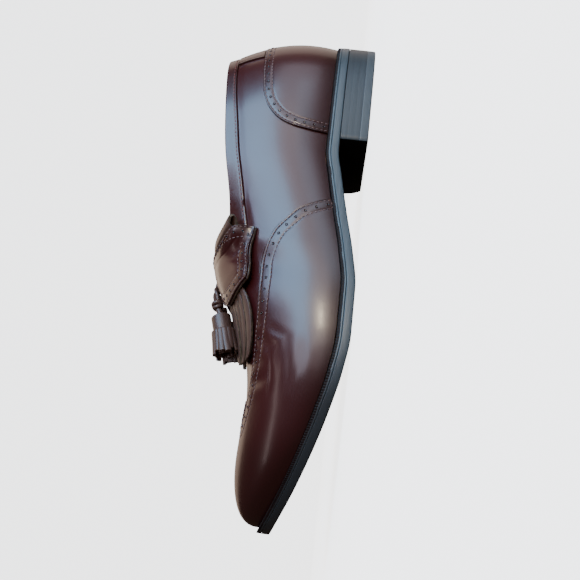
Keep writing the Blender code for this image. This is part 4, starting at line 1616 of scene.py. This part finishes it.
def beside(turn, rise, distance):
    """The line on the upper that runs beside another at a distance, to the inside of its panel."""
    small = 1e-3
    steps = max(1, int(math.ceil(abs(distance))))
    for _ in range(steps):
        here = last_surface(turn, rise)
        aside = np.cross(skin_normal(turn, rise), unit(np.gradient(here, axis=0)))
        by_turn = (last_surface(turn + small, rise) - last_surface(turn - small, rise)) / (2 * small)
        high, low = np.clip(rise + small, 0, 1), np.clip(rise - small, 0, 1)
        by_rise = (last_surface(turn, high) - last_surface(turn, low)) / (high - low)[:, None]
        a, b, c = ((x * y).sum(-1) for x, y in ((by_turn, by_turn), (by_turn, by_rise), (by_rise, by_rise)))
        p, q = (by_turn * aside).sum(-1), (by_rise * aside).sum(-1)
        scale = distance / steps / (a * c - b * b)
        turn, rise = turn + scale * (c * p - b * q), np.clip(rise + scale * (a * q - b * p), 0, 1)
    return turn, rise


def on_both(turn, rise, height, pitch):
    """Frames along a line on the outer side and its copy on the inner side."""
    low = np.minimum(rise, RIDGE_LIMIT)
    return [rowed(skin(at, rise, height), skin_normal(at, low), pitch) for at in (turn, 2 - turn)]


def on_strap(inset, height, pitch):
    """Frames along a line inset from the strap's edge, on both ears."""
    share, span = strap_edge(inset)
    small = 0.01
    made = []
    for side in (1, -1):
        down, above, below = (side * at for at in (span, span - small, span + small))
        cross = strap_point(share + small, down, height) - strap_point(share - small, down, height)
        climb = strap_point(share, above, height) - strap_point(share, below, height)
        up = unit(np.cross(climb, cross)) * side
        made.append(rowed(strap_point(share, down, height), up, pitch))
    return made


def new_stitch():
    bpy.ops.object.select_all(action="DESELECT")
    bpy.ops.mesh.primitive_uv_sphere_add(segments=8, ring_count=6, radius=0.5)
    stitch = bpy.context.object
    stitch.scale = (STITCH_LENGTH, STITCH_WIDTH, STITCH_HEIGHT)
    bpy.ops.object.transform_apply(location=False, rotation=False, scale=True)
    return stitch


def thread(name, colour):
    """Waxed thread, a little uneven in colour."""
    finish = Finish(name)
    finish.clouded(400, 2, tuple(THREAD_SHADE * part for part in colour), colour)
    finish.roughness(finish.noise(300, 2), 0.3, 0.5)
    return finish.material


def panel_rows(edge, band, height):
    """Stitch rows at both seams of a panel's border."""
    made = []
    for seam in (band[0], band[2]):
        line = beside(*even_line(*edge, ROW_PITCH), seam)
        made += on_both(*line, height - GROOVE_DEPTH + STITCH_SINK, STITCH_PITCH)
    return made


dark_rows = panel_rows(wing_edge, WING_BAND, OVERLAY_HEIGHT)
dark_rows += panel_rows(counter_edge, COUNTER_BAND, OVERLAY_HEIGHT)
for strap_seam in (STRAP_BAND[0], STRAP_BAND[2]):
    dark_rows += on_strap(strap_seam, 2 * STRAP_PLY - GROOVE_DEPTH + STITCH_SINK, STITCH_PITCH)
stitching = repeat("stitching", new_stitch(), dark_rows)
take(stitching, thread("dark_thread", (0.2, 0.125, 0.12)), "calf")

collar_half = np.linspace(*COLLAR_ROW_ENDS, COLLAR_ROW_POINTS)
red_rows = on_both(
    *beside(collar_half, collar_foot(collar_half), -COLLAR_SEAM),
    COLLAR_HEIGHT - COLLAR_ROW_FLARE * COLLAR_FLARE - GROOVE_DEPTH + STITCH_SINK,
    STITCH_PITCH,
)
collar_stitching = repeat("collar_stitching", new_stitch(), red_rows)
take(collar_stitching, thread("red_thread", (0.2, 0.05, 0.045)), "calf")


# Punched holes: round holes through the borders of the overlays, their rims pressed up a little.
# One rim with its pit is shaped and repeated along the middle of each border; the pit's near-black colour
# is painted shade for the dark inside of the hole.
HOLE_RIM = ((0.98, -0.05), (0.92, 0.12), (0.82, 0.22), (0.72, 0.24), (0.64, 0.2))
HOLE_PIT = ((0.68, 0.23), (0.6, 0.13), (0.46, 0.06), (0.26, 0.02))
HOLE_SIDES = 12
WING_HOLE_PITCH = 6.4
COUNTER_HOLE_PITCH = 5.5
STRAP_HOLE_PITCH = 5.2


def new_hole(rim, closed):
    """A ring through the rim's radii and heights, with a pit in it if closed."""
    bpy.ops.object.select_all(action="DESELECT")
    bpy.ops.mesh.primitive_circle_add(vertices=HOLE_SIDES, radius=rim[0][0], location=(0, 0, rim[0][1]))
    hole = bpy.context.object
    bpy.ops.object.transform_apply()
    bpy.ops.object.mode_set(mode="EDIT")
    for (wide, low), (narrow, high) in zip(rim, rim[1:]):
        bpy.ops.mesh.select_mode(type="EDGE")
        bpy.ops.mesh.extrude_edges_move()
        bpy.ops.transform.resize(value=(narrow / wide, narrow / wide, 1.0))
        bpy.ops.transform.translate(value=(0, 0, high - low))
    if closed:
        bpy.ops.mesh.edge_face_add()
    bpy.ops.object.mode_set(mode="OBJECT")
    return hole


def hole_rows():
    made = []
    for edge, band, pitch in (
        (wing_edge, WING_BAND, WING_HOLE_PITCH),
        (counter_edge, COUNTER_BAND, COUNTER_HOLE_PITCH),
    ):
        line = beside(*even_line(*edge, ROW_PITCH), band[1])
        made += on_both(*line, border_height(np.array(band[1]), band), pitch)
    return made + on_strap(STRAP_BAND[1], 2 * STRAP_PLY + BAND_SWELL, STRAP_HOLE_PITCH)


hole_rims = repeat("hole_rims", new_hole(HOLE_RIM, False), hole_rows())
brush_off_and_shade(hole_rims)
take(hole_rims, calf, "calf")
hole_pits = repeat("hole_pits", new_hole(HOLE_PIT, True), hole_rows())
# Painted shade: the pit is coloured near black where a real hole would look into shadow.
pit_shade_finish = Finish("hole_painted_shade")
pit_shade_finish.clouded(500, 2, (0.002, 0.001, 0.001), (0.005, 0.002, 0.002))
pit_shade_finish.set(Roughness=0.22)
take(hole_pits, pit_shade_finish.material, "calf")


# Stage: a plain pale floor that glows evenly and sweeps up all round, far from the shoe.
# It gives the shoe no light, shadow or mirror image; those come from the lit panes and the tan walls.
FLOOR_DROP = 0.2
FLOOR_RADIUS = 1600.0
SWEEP_RADIUS = 1200.0
SWEEP_HEIGHT = 4000.0
SWEEP_SIDES = 96
SWEEP_STEPS = 25
sweep_angle = np.linspace(0, math.pi / 2, SWEEP_STEPS)
sweep_reach = FLOOR_RADIUS + SWEEP_RADIUS * np.sin(sweep_angle)
sweep_climb = SWEEP_RADIUS * (1 - np.cos(sweep_angle))
sweep_line = np.concatenate(
    [
        [(1.0, 0.0), (200.0, 0.0), (600.0, 0.0)],
        np.stack([sweep_reach, sweep_climb], -1),
        [(FLOOR_RADIUS + SWEEP_RADIUS, SWEEP_HEIGHT)],
    ]
)


def sweep_shape(u, v):
    reach, climb = sweep_line[step_of(v, len(sweep_line) - 1)].T
    angle = 2 * math.pi * u
    return FRAME_SHIFT + np.stack([reach * np.cos(angle), reach * np.sin(angle), climb - FLOOR_DROP], -1)


floor = new_sheet("floor", SWEEP_SIDES, len(sweep_line) - 1, sweep_shape)
weld(floor)
edit(floor, (bpy.ops.mesh.flip_normals, {}))
shade(floor, 60)
floor_finish = Finish("pale_floor")
floor_finish.set(Base_Color=(0.85, 0.85, 0.85, 1.0), Roughness=1.0, Specular_IOR_Level=0.0)
floor_finish.set(Emission_Color=(1.0, 1.0, 1.0, 1.0), Emission_Strength=3.0)
floor.data.materials.append(floor_finish.material)
floor.visible_glossy = False
floor.visible_diffuse = False
floor.visible_shadow = False


# Light: a tall window to the outer side of the heel with dimmer panes beside and below it, a small
# warm lamp, a lit strip on the ceiling over the toe, and dim tan walls over and behind the shoe.
TO_SHOE, DOWN, OUTWARD, TOEWARD = (0, -1, 0), (0, 0, -1), (0, 1, 0), (1, 0, 0)
PANES = {
    # centre, width, height, facing, brightness, colour
    "window_top": ((-0.69, 1.0, 2.1), 0.5, 0.8, TO_SHOE, 9.5, (0.48, 0.66, 1.0)),
    "window_high": ((-0.7, 1.0, 1.4), 0.5, 0.6, TO_SHOE, 9.5, (0.38, 0.66, 1.0)),
    "window_high_fade": ((-0.37, 0.99, 1.25), 0.16, 0.9, TO_SHOE, 2.6, (0.9, 0.84, 1.0)),
    "window": ((-0.68, 1.0, 0.74), 0.56, 0.72, TO_SHOE, 10.5, (0.38, 0.67, 1.0)),
    "window_middle": ((-0.24, 1.0, 0.55), 0.32, 0.34, TO_SHOE, 10.0, (0.4, 0.68, 1.0)),
    "window_middle_fade": ((-0.24, 1.0, 0.81), 0.32, 0.18, TO_SHOE, 4.0, (0.66, 0.76, 1.0)),
    "window_middle_dim": ((-0.14, 1.0, 1.06), 0.3, 0.32, TO_SHOE, 1.5, (1.0, 0.86, 0.95)),
    "window_front": ((0.1, 1.0, 0.545), 0.36, 0.35, TO_SHOE, 4.5, (0.84, 0.84, 1.0)),
    "window_front_fade": ((0.1, 1.0, 0.81), 0.36, 0.18, TO_SHOE, 1.7, (1.0, 0.86, 0.96)),
    "window_foot": ((-0.4, 1.0, 0.2), 0.7, 0.34, TO_SHOE, 3.2, (0.98, 0.9, 0.97)),
    "window_foot_fade": ((0.1, 1.0, 0.2), 0.3, 0.34, TO_SHOE, 1.5, (1.0, 0.82, 0.84)),
    "wall_heel": ((-1.33, 1.0, 0.15), 1.15, 0.7, TO_SHOE, 2.2, (0.82, 0.84, 1.0)),
    "window_low": ((-0.82, 0.97, 0.0), 0.45, 0.2, TO_SHOE, 2.5, (0.45, 0.75, 1.0)),
    "lamp": ((-0.27, 0.96, 0.15), 0.15, 0.035, TO_SHOE, 150.0, (1.0, 0.84, 0.58)),
    "strip": ((0.55, 0.46, 1.0), 0.75, 0.14, DOWN, 3.0, (1.0, 0.86, 0.84)),
    "ceiling": ((-0.15, -0.7, 1.0), 0.5, 1.4, DOWN, 1.15, (1.0, 0.8, 0.62)),
    "wall_back": ((0.0, -1.3, 0.9), 1.6, 1.0, OUTWARD, 0.7, (1.0, 0.76, 0.6)),
    "wall_end": ((-1.5, -0.4, 0.3), 1.2, 1.0, TOEWARD, 1.1, (1.0, 0.83, 0.72)),
}
ROOM_COLOUR = (1.0, 0.62, 0.46, 1.0)
ROOM_STRENGTH = 0.06
for pane_name, (centre, width, height, facing, bright, pane_colour) in PANES.items():
    data = bpy.data.lights.new(pane_name, "AREA")
    data.shape = "RECTANGLE"
    data.size, data.size_y = width, height
    data.energy = bright * math.pi * width * height
    data.color = pane_colour
    pane = bpy.data.objects.new(pane_name, data)
    bpy.context.scene.collection.objects.link(pane)
    pane.location = centre
    pane.rotation_mode = "QUATERNION"
    pane.rotation_quaternion = Vector(facing).to_track_quat("-Z", "Y")
    pane.visible_camera = False
world = bpy.data.worlds.new("room")
world.use_nodes = True
background = world.node_tree.nodes["Background"].inputs
background["Color"].default_value = ROOM_COLOUR
background["Strength"].default_value = ROOM_STRENGTH
bpy.context.scene.world = world


# Camera: at the outer side, low over the floor and rolled on its side, as the photograph is taken.
# It is turned a little to bring the shoe to the middle of the picture.
CAMERA_PLACE = Vector((0.0945, 0.3277, 0.01))
CAMERA_FORWARD = Vector((-0.2396, -0.9675, -0.0811))
CAMERA_RIGHT = Vector((-0.0773, 0.1023, -0.9917))
PICTURE_CENTRE = (-0.1625, -0.0179)
CAMERA_LENS = 34.76
camera_data = bpy.data.cameras.new("camera")
camera_data.sensor_width = 36.0
camera_data.lens = CAMERA_LENS
camera_data.clip_start = 0.01
camera = bpy.data.objects.new("camera", camera_data)
bpy.context.scene.collection.objects.link(camera)
picture_down = CAMERA_FORWARD.cross(CAMERA_RIGHT)
looking = CAMERA_FORWARD + CAMERA_RIGHT * PICTURE_CENTRE[0] + picture_down * PICTURE_CENTRE[1]
looking.normalize()
right = (CAMERA_RIGHT - looking * CAMERA_RIGHT.dot(looking)).normalized()
up = right.cross(looking)
camera.matrix_world = Matrix.Translation(CAMERA_PLACE) @ Matrix((right, up, -looking)).transposed().to_4x4()
bpy.context.scene.camera = camera
